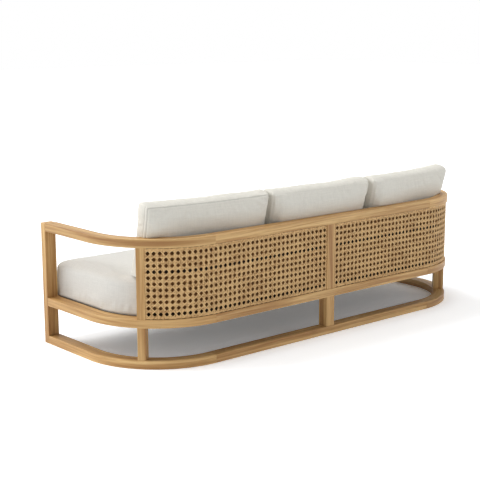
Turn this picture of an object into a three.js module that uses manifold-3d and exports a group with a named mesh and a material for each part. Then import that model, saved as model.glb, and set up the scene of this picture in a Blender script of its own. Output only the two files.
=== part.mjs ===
// Three-seat garden sofa: a solid wood frame of three U-shaped rails on upright posts, with two
// curved cane panels let into grooves, curved back boards, a slatted deck and six loose cushions.
// Millimetres, +Z up. The front faces -Y, the origin is on the floor under the middle of the sofa.

import * as THREE from 'three';
import { mergeVertices } from 'three/addons/utils/BufferGeometryUtils.js';
import Module from 'manifold-3d';

const wasm = await Module();
wasm.setup();

// Plan of the frame
const SOFA_LENGTH = 2300;
const SOFA_DEPTH = 808;
const CORNER_RADIUS = 415;

// Rails
const RAIL_WIDTH = 63;
const RAIL_HEIGHT = 39;
const RAIL_EASE = 3;
const SEAT_RAIL_BOTTOM = 189;
const TOP_RAIL_BOTTOM = 552;

// Posts
const FRONT_POST_WIDTH = 58;
const FRONT_POST_DEPTH = 38;
const CORNER_POST_WIDTH = 38;
const CORNER_POST_ANGLE = THREE.MathUtils.degToRad(40.6);
const CENTRE_POST_WIDTH = 54;
const POST_SETBACK = 3.5;
const POST_EASE = 2;

// Joints
const JOINT_GAP = 0.3;
const TENON_THICKNESS = 16;
const TENON_SHOULDER = 8;
const BASE_TENON_LENGTH = 22;
const SEAT_TENON_LENGTH = 14;
const TOP_TENON_LENGTH = 24;
const SIDE_TENON_LENGTH = 24;
const TONGUE_LENGTH = 36;

// Seat structure
const APRON_HEIGHT = 63;
const APRON_DEPTH = 38;
const LEDGER_WIDTH = 20;
const LEDGER_HEIGHT = 20;
const SLAT_COUNT = 14;
const SLAT_WIDTH = 120;
const SLAT_THICKNESS = 18;
const SLAT_END_GAP = 4;
const BEARER_WIDTH = 38;
const BEARER_HEIGHT = 34;

// Curved boards behind the cane
const BOARD_THICKNESS = 14;
const BOARD_INSET = 38;
const BOARD_HOUSING = 10;
const BOARD_SPACING = 30;
const LOWER_BOARD_HEIGHT = 164;
const UPPER_BOARD_HEIGHT = 74;

// Cane panels: an open net with a plain border
const CANE_THICKNESS = 3;
const CANE_INSET = 7;
const CANE_GROOVE_DEPTH = 4;
const CANE_GROOVE_SLACK = 1.2;
const CANE_BORDER = 8;
const CANE_ROWS = 5;
const CANE_COLUMNS = 17;
const CANE_HOLE_SHARE = 0.5;

// Seat cushions
const SEAT_CUSHION_SEAM_HEIGHT = 150;
const SEAT_CUSHION_CROWN = 22;
const SEAT_CUSHION_CROWN_REACH = 150;
const SEAT_CUSHION_FOOT_RADIUS = 10;
const SEAT_CUSHION_EDGE_RADIUS = 24;
const SEAT_CUSHION_CORNER_RADIUS = 18;
const SEAT_CUSHION_DRAW_IN = 5;
const SEAT_CUSHION_GAP = 3;
const SEAT_CUSHION_FRONT_SETBACK = 5;
const SEAT_CUSHION_BACK_GAP = 8;

// Back cushions
const BACK_CUSHION_SHORTER_BY = 56;
const BACK_CUSHION_GAP = 10;
const BACK_CUSHION_HEIGHT = 350;
const BACK_CUSHION_GUSSET = 76;
const BACK_CUSHION_GUSSET_SWELL = 3;
const BACK_CUSHION_CROWN = 34;
const BACK_CUSHION_CROWN_REACH = 150;
const BACK_CUSHION_CORNER_RADIUS = 14;
const BACK_CUSHION_DRAW_IN = 8;
const BACK_CUSHION_SINK = 3;
const BACK_CUSHION_LEAN = THREE.MathUtils.degToRad(13);
const BACK_CUSHION_REST_GAP = 0.5;

// How far the foot of each back cushion stands in front of the rails, and its turn in plan
const LEFT_CUSHION_FORWARD = 151;
const MIDDLE_CUSHION_FORWARD = 118;
const RIGHT_CUSHION_FORWARD = 137;
const LEFT_CUSHION_TURN = THREE.MathUtils.degToRad(-4.5);
const MIDDLE_CUSHION_TURN = THREE.MathUtils.degToRad(0.9);
const RIGHT_CUSHION_TURN = THREE.MathUtils.degToRad(6.7);

// Fineness of round forms, and the overrun of every cut
const ARC_STEPS = 18;
const SLAT_END_STEPS = 4;
const CUSHION_SIDE_STEPS = 5;
const CUSHION_CORNER_STEPS = 2;
const CUSHION_BEND_STEPS = 7;
const CUSHION_EDGE_STEPS = 2;
const CUSHION_CROWN_SHARES = [0.1, 0.35, 0.65, 1];
const CUT_OVERRUN = 2;

// Places that follow from the sizes
const HALF_LENGTH = SOFA_LENGTH / 2;
const BACK_Y = SOFA_DEPTH / 2;
const FRONT_Y = -SOFA_DEPTH / 2;
const ARC_X = HALF_LENGTH - CORNER_RADIUS;
const ARC_Y = BACK_Y - CORNER_RADIUS;
const ARC_LENGTH = CORNER_RADIUS * Math.PI / 2;
const ARM_START_S = ARC_X + ARC_LENGTH;
const ARM_INNER_X = HALF_LENGTH - RAIL_WIDTH;
const FRONT_POST_BACK_Y = FRONT_Y + FRONT_POST_DEPTH;
const APRON_BACK_Y = FRONT_Y + APRON_DEPTH;
const SEAT_RAIL_TOP = SEAT_RAIL_BOTTOM + RAIL_HEIGHT;
const TOP_RAIL_TOP = TOP_RAIL_BOTTOM + RAIL_HEIGHT;
const CORNER_POST_S = ARC_X + CORNER_RADIUS * (Math.PI / 2 - CORNER_POST_ANGLE);
const SLAT_BOTTOM = SEAT_RAIL_TOP - SLAT_THICKNESS;

const CORNER_POST = { s: CORNER_POST_S, width: CORNER_POST_WIDTH };
const CENTRE_POST = { s: 0, width: CENTRE_POST_WIDTH };

const WOOD = { color: 0xc49a63, roughness: 0.55, metalness: 0 };
const CANE = { color: 0xbd9a66, roughness: 0.7, metalness: 0 };
const FABRIC = { color: 0xdcd9d0, roughness: 0.95, metalness: 0 };

const sofa = new THREE.Group();

function addPart(name, solid, finish) {
  const mesh = new THREE.Mesh(toGeometry(solid), new THREE.MeshStandardMaterial(finish));
  mesh.name = name;
  sofa.add(mesh);
}

// A piece on the left of the sofa, and its mirror image on the right.
function addPair(name, solid, finish) {
  addPart(`${name}_left`, solid, finish);
  addPart(`${name}_right`, acrossX(solid), finish);
}

// Solids and meshes

function toSolid(geometry) {
  const bare = geometry.clone();
  bare.deleteAttribute('normal');
  bare.deleteAttribute('uv');
  const merged = mergeVertices(bare);
  const mesh = new wasm.Mesh({
    numProp: 3,
    vertProperties: new Float32Array(merged.attributes.position.array),
    triVerts: new Uint32Array(merged.index.array),
  });
  return new wasm.Manifold(mesh);
}

function toGeometry(solid) {
  const mesh = solid.getMesh();
  const geometry = new THREE.BufferGeometry();
  geometry.setAttribute('position', new THREE.BufferAttribute(mesh.vertProperties, 3));
  geometry.setIndex(new THREE.BufferAttribute(mesh.triVerts, 1));
  geometry.computeVertexNormals();
  return geometry;
}

function signedVolume(points, triangles) {
  const corners = [new THREE.Vector3(), new THREE.Vector3(), new THREE.Vector3()];
  let volume = 0;
  for (const triangle of triangles) {
    triangle.forEach((index, i) => corners[i].fromArray(points[index]));
    volume += corners[0].dot(corners[1].cross(corners[2]));
  }
  return volume;
}

// A closed solid with its faces turned outwards.
function closedSolid(points, triangles) {
  const outward = signedVolume(points, triangles) > 0;
  const turned = outward ? triangles : triangles.map(([a, b, c]) => [a, c, b]);
  const geometry = new THREE.BufferGeometry();
  geometry.setAttribute('position', new THREE.Float32BufferAttribute(points.flat(), 3));
  geometry.setIndex(turned.flat());
  return toSolid(geometry);
}

function acrossX(solid) {
  return solid.mirror([1, 0, 0]);
}

function widened([low, high], margin) {
  return [low - margin, high + margin];
}

function boxSolid(...ranges) {
  const geometry = new THREE.BoxGeometry(...ranges.map(([low, high]) => high - low));
  geometry.translate(...ranges.map(([low, high]) => (low + high) / 2));
  return toSolid(geometry);
}

function prism(outline, [bottom, top]) {
  const shape = new THREE.Shape(outline.map(([x, y]) => new THREE.Vector2(x, y)));
  const geometry = new THREE.ExtrudeGeometry(shape, { depth: top - bottom, bevelEnabled: false });
  geometry.translate(0, 0, bottom);
  return toSolid(geometry);
}

function squareSection([left, right], [bottom, top]) {
  return [[left, bottom], [right, bottom], [right, top], [left, top]];
}

function easedSection([left, right], [bottom, top], ease) {
  return [
    [left + ease, bottom], [right - ease, bottom], [right, bottom + ease], [right, top - ease],
    [right - ease, top], [left + ease, top], [left, top - ease], [left, bottom + ease],
  ];
}

// The plan line of the frame. s runs along the outer face, from the middle of the back to the
// left arm. A station has its place on the outer face and the direction into the sofa.

function stationAt(s) {
  if (s <= ARC_X) {
    return { x: s, y: BACK_Y, inX: 0, inY: -1 };
  }
  if (s >= ARM_START_S) {
    return { x: HALF_LENGTH, y: ARC_Y - (s - ARM_START_S), inX: -1, inY: 0 };
  }
  const turn = (s - ARC_X) / CORNER_RADIUS;
  const [inX, inY] = [-Math.sin(turn), -Math.cos(turn)];
  return { x: ARC_X - inX * CORNER_RADIUS, y: ARC_Y - inY * CORNER_RADIUS, inX, inY };
}

// Stations from one s to another, with steps round the corner.
function stationsBetween(start, end) {
  const steps = Array.from({ length: ARC_STEPS + 1 }, (_, i) => ARC_X + ARC_LENGTH * i / ARC_STEPS);
  const inside = steps.filter((s) => s > start + CUT_OVERRUN && s < end - CUT_OVERRUN);
  return [start, ...inside, end].map(stationAt);
}

// A section of [inset, height] points swept along stations, with flat ends.
function sweptSolid(stations, section) {
  const points = stations.flatMap(({ x, y, inX, inY }) => (
    section.map(([inset, z]) => [x + inX * inset, y + inY * inset, z])));
  const count = section.length;
  const last = points.length - count;
  const triangles = [];
  for (let start = 0; start < last; start += count) {
    for (let j = 0; j < count; j += 1) {
      const [a, b] = [start + j, start + (j + 1) % count];
      triangles.push([a, b, b + count], [a, b + count, a + count]);
    }
  }
  const outline = section.map(([inset, z]) => new THREE.Vector2(inset, z));
  for (const [a, b, c] of THREE.ShapeUtils.triangulateShape(outline, [])) {
    triangles.push([b, a, c], [last + a, last + b, last + c]);
  }
  return closedSolid(points, triangles);
}

// An upright block square to the plan line at s, with its long edges eased.
function uprightBlock(s, width, [near, far], zRange, ease) {
  const { x, y, inX, inY } = stationAt(s);
  const section = easedSection([-width / 2, width / 2], [near, far], ease);
  const outline = section.map(([along, inset]) => [
    x - inY * along + inX * inset, y + inX * along + inY * inset]);
  return prism(outline, zRange);
}

// Tenons, each grown by the joint gap to cut its own mortise

function postTenon({ s, width }, zRange, grow) {
  const insets = widened([POST_SETBACK, RAIL_WIDTH - POST_SETBACK], grow - TENON_SHOULDER);
  return uprightBlock(s, width + 2 * (grow - TENON_SHOULDER), insets, zRange, POST_EASE);
}

function tenonBand(railBottom, grow) {
  const middle = railBottom + RAIL_HEIGHT / 2;
  return widened([middle, middle], TENON_THICKNESS / 2 + grow);
}

// Tenon of an arm's rail in the front post.
function armTenon(railBottom, grow) {
  const xRange = widened([HALF_LENGTH - FRONT_POST_WIDTH, HALF_LENGTH], grow - TENON_SHOULDER);
  const yRange = [FRONT_POST_BACK_Y - SIDE_TENON_LENGTH - grow, FRONT_POST_BACK_Y + JOINT_GAP + grow];
  return boxSolid(xRange, yRange, tenonBand(railBottom, grow));
}

// Tongue of a straight back rail in the curved rail beside it.
function railTongue(railBottom, grow) {
  const yRange = widened([BACK_Y - RAIL_WIDTH, BACK_Y], grow - TENON_SHOULDER);
  return boxSolid([ARC_X - CUT_OVERRUN, ARC_X + TONGUE_LENGTH + grow], yRange, tenonBand(railBottom, grow));
}

const APRON_Z = [SEAT_RAIL_TOP - APRON_HEIGHT, SEAT_RAIL_TOP];
const APRON_Y = [FRONT_Y, APRON_BACK_Y];
const APRON_END_X = HALF_LENGTH - FRONT_POST_WIDTH;

// Tenon of the apron in a front post, below the tenon of the arm's seat rail.
function apronTenon(grow) {
  const margin = grow - TENON_SHOULDER;
  const [armTenonBottom] = tenonBand(SEAT_RAIL_BOTTOM, 0);
  return boxSolid([0, APRON_END_X + SIDE_TENON_LENGTH + grow], widened(APRON_Y, margin),
    widened([APRON_Z[0], armTenonBottom], margin));
}

function frontLegTenon(grow) {
  const xRange = widened([-CENTRE_POST_WIDTH / 2, CENTRE_POST_WIDTH / 2], grow - TENON_SHOULDER);
  const zRange = [APRON_Z[0] - CUT_OVERRUN, APRON_Z[0] + BASE_TENON_LENGTH + grow];
  return boxSolid(xRange, widened(APRON_Y, grow - TENON_SHOULDER), zRange);
}

// Grooves for the cane, and housings for the boards behind it

const PANEL_S = [CENTRE_POST_WIDTH / 2 - CANE_GROOVE_DEPTH,
  CORNER_POST_S - CORNER_POST_WIDTH / 2 + CANE_GROOVE_DEPTH];
const PANEL_Z = widened([SEAT_RAIL_TOP, TOP_RAIL_BOTTOM], CANE_GROOVE_DEPTH);

function caneGroove() {
  const insets = widened([CANE_INSET, CANE_INSET + CANE_THICKNESS], CANE_GROOVE_SLACK);
  const stations = stationsBetween(...widened(PANEL_S, JOINT_GAP));
  return sweptSolid(stations, squareSection(insets, widened(PANEL_Z, JOINT_GAP)));
}

const BOARD_S = [CENTRE_POST_WIDTH / 2 - BOARD_HOUSING,
  CORNER_POST_S - CORNER_POST_WIDTH / 2 + BOARD_HOUSING];
const LOWER_BOARD_BOTTOM = SEAT_RAIL_TOP + BOARD_SPACING;
const UPPER_BOARD_BOTTOM = LOWER_BOARD_BOTTOM + LOWER_BOARD_HEIGHT + BOARD_SPACING;
const BACK_BOARDS = [
  { name: 'lower_back_board', zRange: [LOWER_BOARD_BOTTOM, LOWER_BOARD_BOTTOM + LOWER_BOARD_HEIGHT] },
  { name: 'upper_back_board', zRange: [UPPER_BOARD_BOTTOM, UPPER_BOARD_BOTTOM + UPPER_BOARD_HEIGHT] },
];

function backBoard(zRange, grow) {
  const insets = widened([BOARD_INSET, BOARD_INSET + BOARD_THICKNESS], grow);
  return sweptSolid(stationsBetween(...widened(BOARD_S, grow)), squareSection(insets, widened(zRange, grow)));
}

const leftGroove = caneGroove();
const rightGroove = acrossX(leftGroove);
const leftPostCuts = [leftGroove, ...BACK_BOARDS.map(({ zRange }) => backBoard(zRange, JOINT_GAP))];

// Rails, each with the depth of its post mortises from below and from above

const RAILS = [
  { name: 'base_rail', bottom: 0, below: 0, above: BASE_TENON_LENGTH },
  { name: 'seat_rail', bottom: SEAT_RAIL_BOTTOM, below: SEAT_TENON_LENGTH, above: SEAT_TENON_LENGTH },
  { name: 'top_rail', bottom: TOP_RAIL_BOTTOM, below: TOP_TENON_LENGTH, above: 0 },
];
const ARM_END_S = ARM_START_S + ARC_Y - FRONT_POST_BACK_Y;

function railSection(bottom) {
  return easedSection([0, RAIL_WIDTH], [bottom, bottom + RAIL_HEIGHT], RAIL_EASE);
}

function cutPostMortises(rail, post, { bottom, below, above }) {
  const top = bottom + RAIL_HEIGHT;
  let cut = rail;
  if (below > 0) {
    cut = cut.subtract(postTenon(post, [bottom - CUT_OVERRUN, bottom + below + JOINT_GAP], JOINT_GAP));
  }
  if (above > 0) {
    cut = cut.subtract(postTenon(post, [top - above - JOINT_GAP, top + CUT_OVERRUN], JOINT_GAP));
  }
  return cut;
}

function curvedRail(level) {
  const stations = stationsBetween(ARC_X + JOINT_GAP, ARM_END_S - JOINT_GAP);
  const rail = sweptSolid(stations, railSection(level.bottom))
    .add(armTenon(level.bottom, 0))
    .subtract(railTongue(level.bottom, JOINT_GAP))
    .subtract(leftGroove);
  return cutPostMortises(rail, CORNER_POST, level);
}

function straightRail(level) {
  const tongue = railTongue(level.bottom, 0);
  const rail = sweptSolid([stationAt(-ARC_X), stationAt(ARC_X)], railSection(level.bottom))
    .add(tongue)
    .add(acrossX(tongue))
    .subtract(leftGroove)
    .subtract(rightGroove);
  return cutPostMortises(rail, CENTRE_POST, level);
}

for (const level of RAILS) {
  addPair(level.name, curvedRail(level), WOOD);
  addPart(`${level.name}_back`, straightRail(level), WOOD);
}

// Back posts, in a lower and an upper length between the rails

const LOWER_POST = {
  body: widened([RAIL_HEIGHT, SEAT_RAIL_BOTTOM], -JOINT_GAP),
  reach: [RAIL_HEIGHT - BASE_TENON_LENGTH, SEAT_RAIL_BOTTOM + SEAT_TENON_LENGTH],
};
const UPPER_POST = {
  body: widened([SEAT_RAIL_TOP, TOP_RAIL_BOTTOM], -JOINT_GAP),
  reach: [SEAT_RAIL_TOP - SEAT_TENON_LENGTH, TOP_RAIL_BOTTOM + TOP_TENON_LENGTH],
};

function backPost(post, { body, reach }, cuts) {
  const insets = [POST_SETBACK, RAIL_WIDTH - POST_SETBACK];
  const block = uprightBlock(post.s, post.width, insets, body, POST_EASE).add(postTenon(post, reach, 0));
  return cuts.reduce((cut, tool) => cut.subtract(tool), block);
}

addPair('lower_corner_post', backPost(CORNER_POST, LOWER_POST, []), WOOD);
addPair('upper_corner_post', backPost(CORNER_POST, UPPER_POST, leftPostCuts), WOOD);
addPart('lower_centre_post', backPost(CENTRE_POST, LOWER_POST, []), WOOD);
addPart('upper_centre_post',
  backPost(CENTRE_POST, UPPER_POST, [...leftPostCuts, ...leftPostCuts.map(acrossX)]), WOOD);

for (const { name, zRange } of BACK_BOARDS) {
  addPair(name, backBoard(zRange, 0), WOOD);
}

// Front posts, apron and front leg

function frontPost() {
  const section = easedSection([APRON_END_X, HALF_LENGTH], [FRONT_Y, FRONT_POST_BACK_Y], POST_EASE);
  const post = prism(section, [0, TOP_RAIL_TOP]).subtract(apronTenon(JOINT_GAP));
  return RAILS.reduce((cut, { bottom }) => cut.subtract(armTenon(bottom, JOINT_GAP)), post);
}

function frontApron() {
  const ends = widened([-APRON_END_X, APRON_END_X], -JOINT_GAP);
  const stations = ends.map((x) => ({ x, y: 0, inX: 0, inY: 1 }));
  return sweptSolid(stations, easedSection(APRON_Y, APRON_Z, POST_EASE))
    .add(apronTenon(0))
    .add(acrossX(apronTenon(0)))
    .subtract(frontLegTenon(JOINT_GAP));
}

function frontLeg() {
  const section = easedSection([-CENTRE_POST_WIDTH / 2, CENTRE_POST_WIDTH / 2], APRON_Y, POST_EASE);
  return prism(section, [0, APRON_Z[0] - JOINT_GAP]).add(frontLegTenon(0));
}

addPair('front_post', frontPost(), WOOD);
addPart('front_apron', frontApron(), WOOD);
addPart('front_leg', frontLeg(), WOOD);

// Ledgers on the inner faces of the seat rails, which carry the slats

const DECK_Z = SLAT_BOTTOM - JOINT_GAP;
const LEDGER_Z = [DECK_Z - LEDGER_HEIGHT, DECK_Z];
const LEDGER_INSETS = [RAIL_WIDTH + JOINT_GAP, RAIL_WIDTH + JOINT_GAP + LEDGER_WIDTH];
const FRONT_LEDGER_Y = [APRON_BACK_Y + JOINT_GAP, APRON_BACK_Y + JOINT_GAP + LEDGER_WIDTH];
const FRONT_LEDGER_END_X = ARM_INNER_X - JOINT_GAP;
const ARM_LEDGER_END_S = ARM_START_S + ARC_Y - FRONT_LEDGER_Y[1] - JOINT_GAP;

const ledgerSection = squareSection(LEDGER_INSETS, LEDGER_Z);
addPair('arm_ledger', sweptSolid(stationsBetween(ARC_X + JOINT_GAP, ARM_LEDGER_END_S), ledgerSection), WOOD);
addPart('back_ledger', sweptSolid([stationAt(-ARC_X), stationAt(ARC_X)], ledgerSection), WOOD);
addPart('front_ledger', boxSolid([-FRONT_LEDGER_END_X, FRONT_LEDGER_END_X], FRONT_LEDGER_Y, LEDGER_Z), WOOD);

// Bearers from the front ledger to the back one, under the slats. Three of them split the
// length between the arms in four.

const BEARER_SPACING = ARM_INNER_X / 2;
const BEARER_Y = [FRONT_LEDGER_Y[1] + JOINT_GAP, BACK_Y - LEDGER_INSETS[1] - JOINT_GAP];

function bearer(x) {
  return boxSolid(widened([x, x], BEARER_WIDTH / 2), BEARER_Y, [DECK_Z - BEARER_HEIGHT, DECK_Z]);
}

addPair('seat_bearer', bearer(BEARER_SPACING), WOOD);
addPart('seat_bearer_centre', bearer(0), WOOD);

// Slats, whose back ends follow the curve of the frame

const SLAT_PITCH = (2 * (ARM_INNER_X - SLAT_END_GAP) - SLAT_WIDTH) / (SLAT_COUNT - 1);
const SLAT_END_RADIUS = CORNER_RADIUS - RAIL_WIDTH - SLAT_END_GAP;

function slatBackY(x) {
  const reach = Math.min(Math.max(Math.abs(x) - ARC_X, 0), SLAT_END_RADIUS);
  return ARC_Y + Math.sqrt(SLAT_END_RADIUS ** 2 - reach ** 2);
}

function slat(centre) {
  const [left, right] = widened([centre, centre], SLAT_WIDTH / 2);
  const front = APRON_BACK_Y + SLAT_END_GAP;
  const outline = [[left, front], [right, front]];
  for (let i = 0; i <= SLAT_END_STEPS; i += 1) {
    const x = right - SLAT_WIDTH * i / SLAT_END_STEPS;
    outline.push([x, slatBackY(x)]);
  }
  return prism(outline, [SLAT_BOTTOM, SEAT_RAIL_TOP]);
}

for (let i = 0; i < SLAT_COUNT; i += 1) {
  addPart(`seat_slat_${i + 1}`, slat(SLAT_PITCH * (i - (SLAT_COUNT - 1) / 2)), WOOD);
}

// Cane panels

// Edges of the cells in one direction: the border, the net's cells, and the border again.
function cellEdges([start, end], count) {
  const border = CANE_GROOVE_DEPTH + CANE_BORDER;
  const pitch = (end - start - 2 * border) / count;
  const inside = Array.from({ length: count + 1 }, (_, i) => start + border + pitch * i);
  return [start, ...inside, end];
}

// A curved sheet with one square hole in each inner cell. Points are kept once for each
// place, so that neighbouring cells share them.
function canePanel() {
  const points = [];
  const triangles = [];
  const indexOfPlace = new Map();

  function vertex([s, z], face) {
    const place = `${s} ${z} ${face}`;
    if (!indexOfPlace.has(place)) {
      const { x, y, inX, inY } = stationAt(s);
      const inset = CANE_INSET + face * CANE_THICKNESS;
      indexOfPlace.set(place, points.length);
      points.push([x + inX * inset, y + inY * inset, z]);
    }
    return indexOfPlace.get(place);
  }

  function quad(a, b, c, d) {
    triangles.push([a, b, c], [a, c, d]);
  }

  function wall(from, to) {
    quad(vertex(from, 0), vertex(from, 1), vertex(to, 1), vertex(to, 0));
  }

  function bothFaces(corners) {
    quad(...corners.map((corner) => vertex(corner, 0)));
    quad(...corners.map((corner) => vertex(corner, 1)).reverse());
  }

  function openCell(corners) {
    const middle = [0, 1].map((axis) => (corners[0][axis] + corners[2][axis]) / 2);
    const hole = corners.map((corner) => corner.map((value, axis) => (
      middle[axis] + (value - middle[axis]) * CANE_HOLE_SHARE)));
    corners.forEach((corner, i) => {
      const next = (i + 1) % corners.length;
      bothFaces([corner, corners[next], hole[next], hole[i]]);
      wall(hole[next], hole[i]);
    });
  }

  const along = cellEdges(PANEL_S, CANE_COLUMNS);
  const up = cellEdges(PANEL_Z, CANE_ROWS);
  const [lastColumn, lastRow] = [along.length - 2, up.length - 2];
  for (let i = 0; i <= lastColumn; i += 1) {
    for (let j = 0; j <= lastRow; j += 1) {
      const corners = squareSection([along[i], along[i + 1]], [up[j], up[j + 1]]);
      const outerSides = [j === 0, i === lastColumn, j === lastRow, i === 0];
      if (outerSides.includes(true)) {
        bothFaces(corners);
      } else {
        openCell(corners);
      }
      outerSides.forEach((isOuter, side) => {
        if (isOuter) wall(corners[side], corners[(side + 1) % corners.length]);
      });
    }
  }
  return closedSolid(points, triangles);
}

addPair('cane_panel', canePanel(), CANE);

// Cushions

// A closed form from rings of equal count, each end closed to the middle of its last ring.
function ringSolid(rings) {
  const count = rings[0].length;
  const ends = [rings[0], rings[rings.length - 1]];
  const poles = ends.map((ring) => [0, 1, 2].map((axis) => (
    ring.reduce((sum, point) => sum + point[axis], 0) / count)));
  const points = [...rings.flat(), ...poles];
  const last = (rings.length - 1) * count;
  const triangles = [];
  for (let j = 0; j < count; j += 1) {
    const next = (j + 1) % count;
    for (let start = 0; start < last; start += count) {
      const [a, b] = [start + j, start + next];
      triangles.push([a, b, b + count], [a, b + count, a + count]);
    }
    triangles.push([next, j, last + count], [last + j, last + next, last + count + 1]);
  }
  return closedSolid(points, triangles);
}

const OUTLINE_CORNERS = [[-1, -1], [1, -1], [1, 1], [-1, 1]];

// Radii of the four corners as wanted, or smaller where two of them would meet on a side.
function fittedRadii(wanted, xSides, ySides) {
  const fits = wanted.map((radius, i) => {
    const [low, high] = i % 2 === 0 ? xSides : ySides;
    return Math.min(1, (high - low) / (radius + wanted[(i + 1) % wanted.length]));
  });
  return wanted.map((radius, i) => radius * Math.min(fits[i], fits[(i + fits.length - 1) % fits.length]));
}

// Points round a rectangle with round corners, drawn in at the middle of each side.
// corners holds a radius and a count of steps for each corner.
function softOutline(xRange, yRange, corners, drawIn, inset) {
  const [xSides, ySides] = [widened(xRange, -inset), widened(yRange, -inset)];
  const wanted = corners.map(({ radius }) => Math.max(radius - inset, inset / 2));
  const radii = fittedRadii(wanted, xSides, ySides);
  const arcs = OUTLINE_CORNERS.map(([sideX, sideY], i) => {
    const { steps } = corners[i];
    const round = radii[i];
    const x = (sideX > 0 ? xSides[1] : xSides[0]) - sideX * round;
    const y = (sideY > 0 ? ySides[1] : ySides[0]) - sideY * round;
    return Array.from({ length: steps + 1 }, (_, k) => {
      const angle = Math.PI + Math.PI / 2 * (i + k / steps);
      return [x + round * Math.cos(angle), y + round * Math.sin(angle)];
    });
  });
  return arcs.flatMap((arc, i) => {
    const [from, to] = [arc[arc.length - 1], arcs[(i + 1) % arcs.length][0]];
    const inward = [-Math.sin(i * Math.PI / 2), Math.cos(i * Math.PI / 2)];
    const side = Array.from({ length: CUSHION_SIDE_STEPS - 1 }, (_, k) => {
      const share = (k + 1) / CUSHION_SIDE_STEPS;
      const pull = drawIn * Math.sin(Math.PI * share);
      return from.map((value, axis) => value + (to[axis] - value) * share + inward[axis] * pull);
    });
    return [...arc, ...side];
  });
}

// Rings of a crowned face, as an inset and a height each, from its edge to its middle.
function crownLevels(edgeInset, edgeHeight, crown, reach) {
  return CUSHION_CROWN_SHARES.map((share) => ({
    inset: edgeInset + reach * share,
    height: edgeHeight + crown * Math.sqrt(1 - (1 - share) ** 2),
  }));
}

// Rings round an edge, from the side of the cushion to its face.
function edgeLevels(radius, height, direction) {
  return Array.from({ length: CUSHION_EDGE_STEPS + 1 }, (_, k) => {
    const angle = Math.PI / 2 * k / CUSHION_EDGE_STEPS;
    return {
      inset: radius * (1 - Math.cos(angle)),
      height: height - direction * radius * (1 - Math.sin(angle)),
    };
  });
}

const SEAT_CUSHION_BOTTOM = SEAT_RAIL_TOP + JOINT_GAP;
const SEAT_CUSHION_TOP = SEAT_CUSHION_BOTTOM + SEAT_CUSHION_SEAM_HEIGHT + SEAT_CUSHION_CROWN;
const SEAT_CUSHION_Y = [FRONT_Y + SEAT_CUSHION_FRONT_SETBACK, BACK_Y - RAIL_WIDTH - SEAT_CUSHION_BACK_GAP];
const SEAT_CUSHION_LEVELS = [
  ...edgeLevels(SEAT_CUSHION_FOOT_RADIUS, 0, -1).reverse(),
  ...edgeLevels(SEAT_CUSHION_EDGE_RADIUS, SEAT_CUSHION_SEAM_HEIGHT, 1),
  ...crownLevels(SEAT_CUSHION_EDGE_RADIUS, SEAT_CUSHION_SEAM_HEIGHT, SEAT_CUSHION_CROWN,
    SEAT_CUSHION_CROWN_REACH),
];
const SMALL_CORNER = { radius: SEAT_CUSHION_CORNER_RADIUS, steps: CUSHION_CORNER_STEPS };
const BEND_CORNER = {
  radius: CORNER_RADIUS - RAIL_WIDTH - SEAT_CUSHION_BACK_GAP,
  steps: CUSHION_BEND_STEPS,
};

function seatCushion(xRange, backOuterCorner) {
  const corners = [SMALL_CORNER, SMALL_CORNER, backOuterCorner, SMALL_CORNER];
  return ringSolid(SEAT_CUSHION_LEVELS.map(({ inset, height }) => (
    softOutline(xRange, SEAT_CUSHION_Y, corners, SEAT_CUSHION_DRAW_IN, inset)
      .map(([x, y]) => [x, y, SEAT_CUSHION_BOTTOM + height]))));
}

// Three seat cushions share the length between the arms.
const SEAT_LENGTH = 2 * (ARM_INNER_X - SEAT_CUSHION_BACK_GAP);
const SEAT_CUSHION_LENGTH = (SEAT_LENGTH - 2 * SEAT_CUSHION_GAP) / 3;
const MIDDLE_CUSHION_X = [-SEAT_CUSHION_LENGTH / 2, SEAT_CUSHION_LENGTH / 2];
const OUTER_CUSHION_X = [MIDDLE_CUSHION_X[1] + SEAT_CUSHION_GAP, ARM_INNER_X - SEAT_CUSHION_BACK_GAP];
addPart('seat_cushion_middle', seatCushion(MIDDLE_CUSHION_X, SMALL_CORNER), FABRIC);
addPair('seat_cushion', seatCushion(OUTER_CUSHION_X, BEND_CORNER), FABRIC);

// Back cushions stand on the seat cushions and lean on the top rail, which dents them.

const SOFT_CORNER = { radius: BACK_CUSHION_CORNER_RADIUS, steps: CUSHION_CORNER_STEPS };
const BACK_CUSHION_LENGTH = SEAT_CUSHION_LENGTH - BACK_CUSHION_SHORTER_BY;
const BACK_CUSHION_X = [-BACK_CUSHION_LENGTH / 2, BACK_CUSHION_LENGTH / 2];
const BACK_CUSHION_SPACING = BACK_CUSHION_LENGTH + BACK_CUSHION_GAP;
const BACK_CUSHIONS = [
  { side: 'left', across: BACK_CUSHION_SPACING, forward: LEFT_CUSHION_FORWARD, turn: LEFT_CUSHION_TURN },
  { side: 'middle', across: 0, forward: MIDDLE_CUSHION_FORWARD, turn: MIDDLE_CUSHION_TURN },
  { side: 'right', across: -BACK_CUSHION_SPACING, forward: RIGHT_CUSHION_FORWARD, turn: RIGHT_CUSHION_TURN },
];
const halfGusset = BACK_CUSHION_GUSSET / 2;
const backCrown = crownLevels(0, halfGusset, BACK_CUSHION_CROWN, BACK_CUSHION_CROWN_REACH);
const BACK_CUSHION_HALF = [{ inset: 0, height: halfGusset }, ...backCrown];
const BACK_CUSHION_LEVELS = [
  ...BACK_CUSHION_HALF.map(({ inset, height }) => ({ inset, height: -height })).reverse(),
  { inset: -BACK_CUSHION_GUSSET_SWELL, height: 0 },
  ...BACK_CUSHION_HALF,
];

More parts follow.
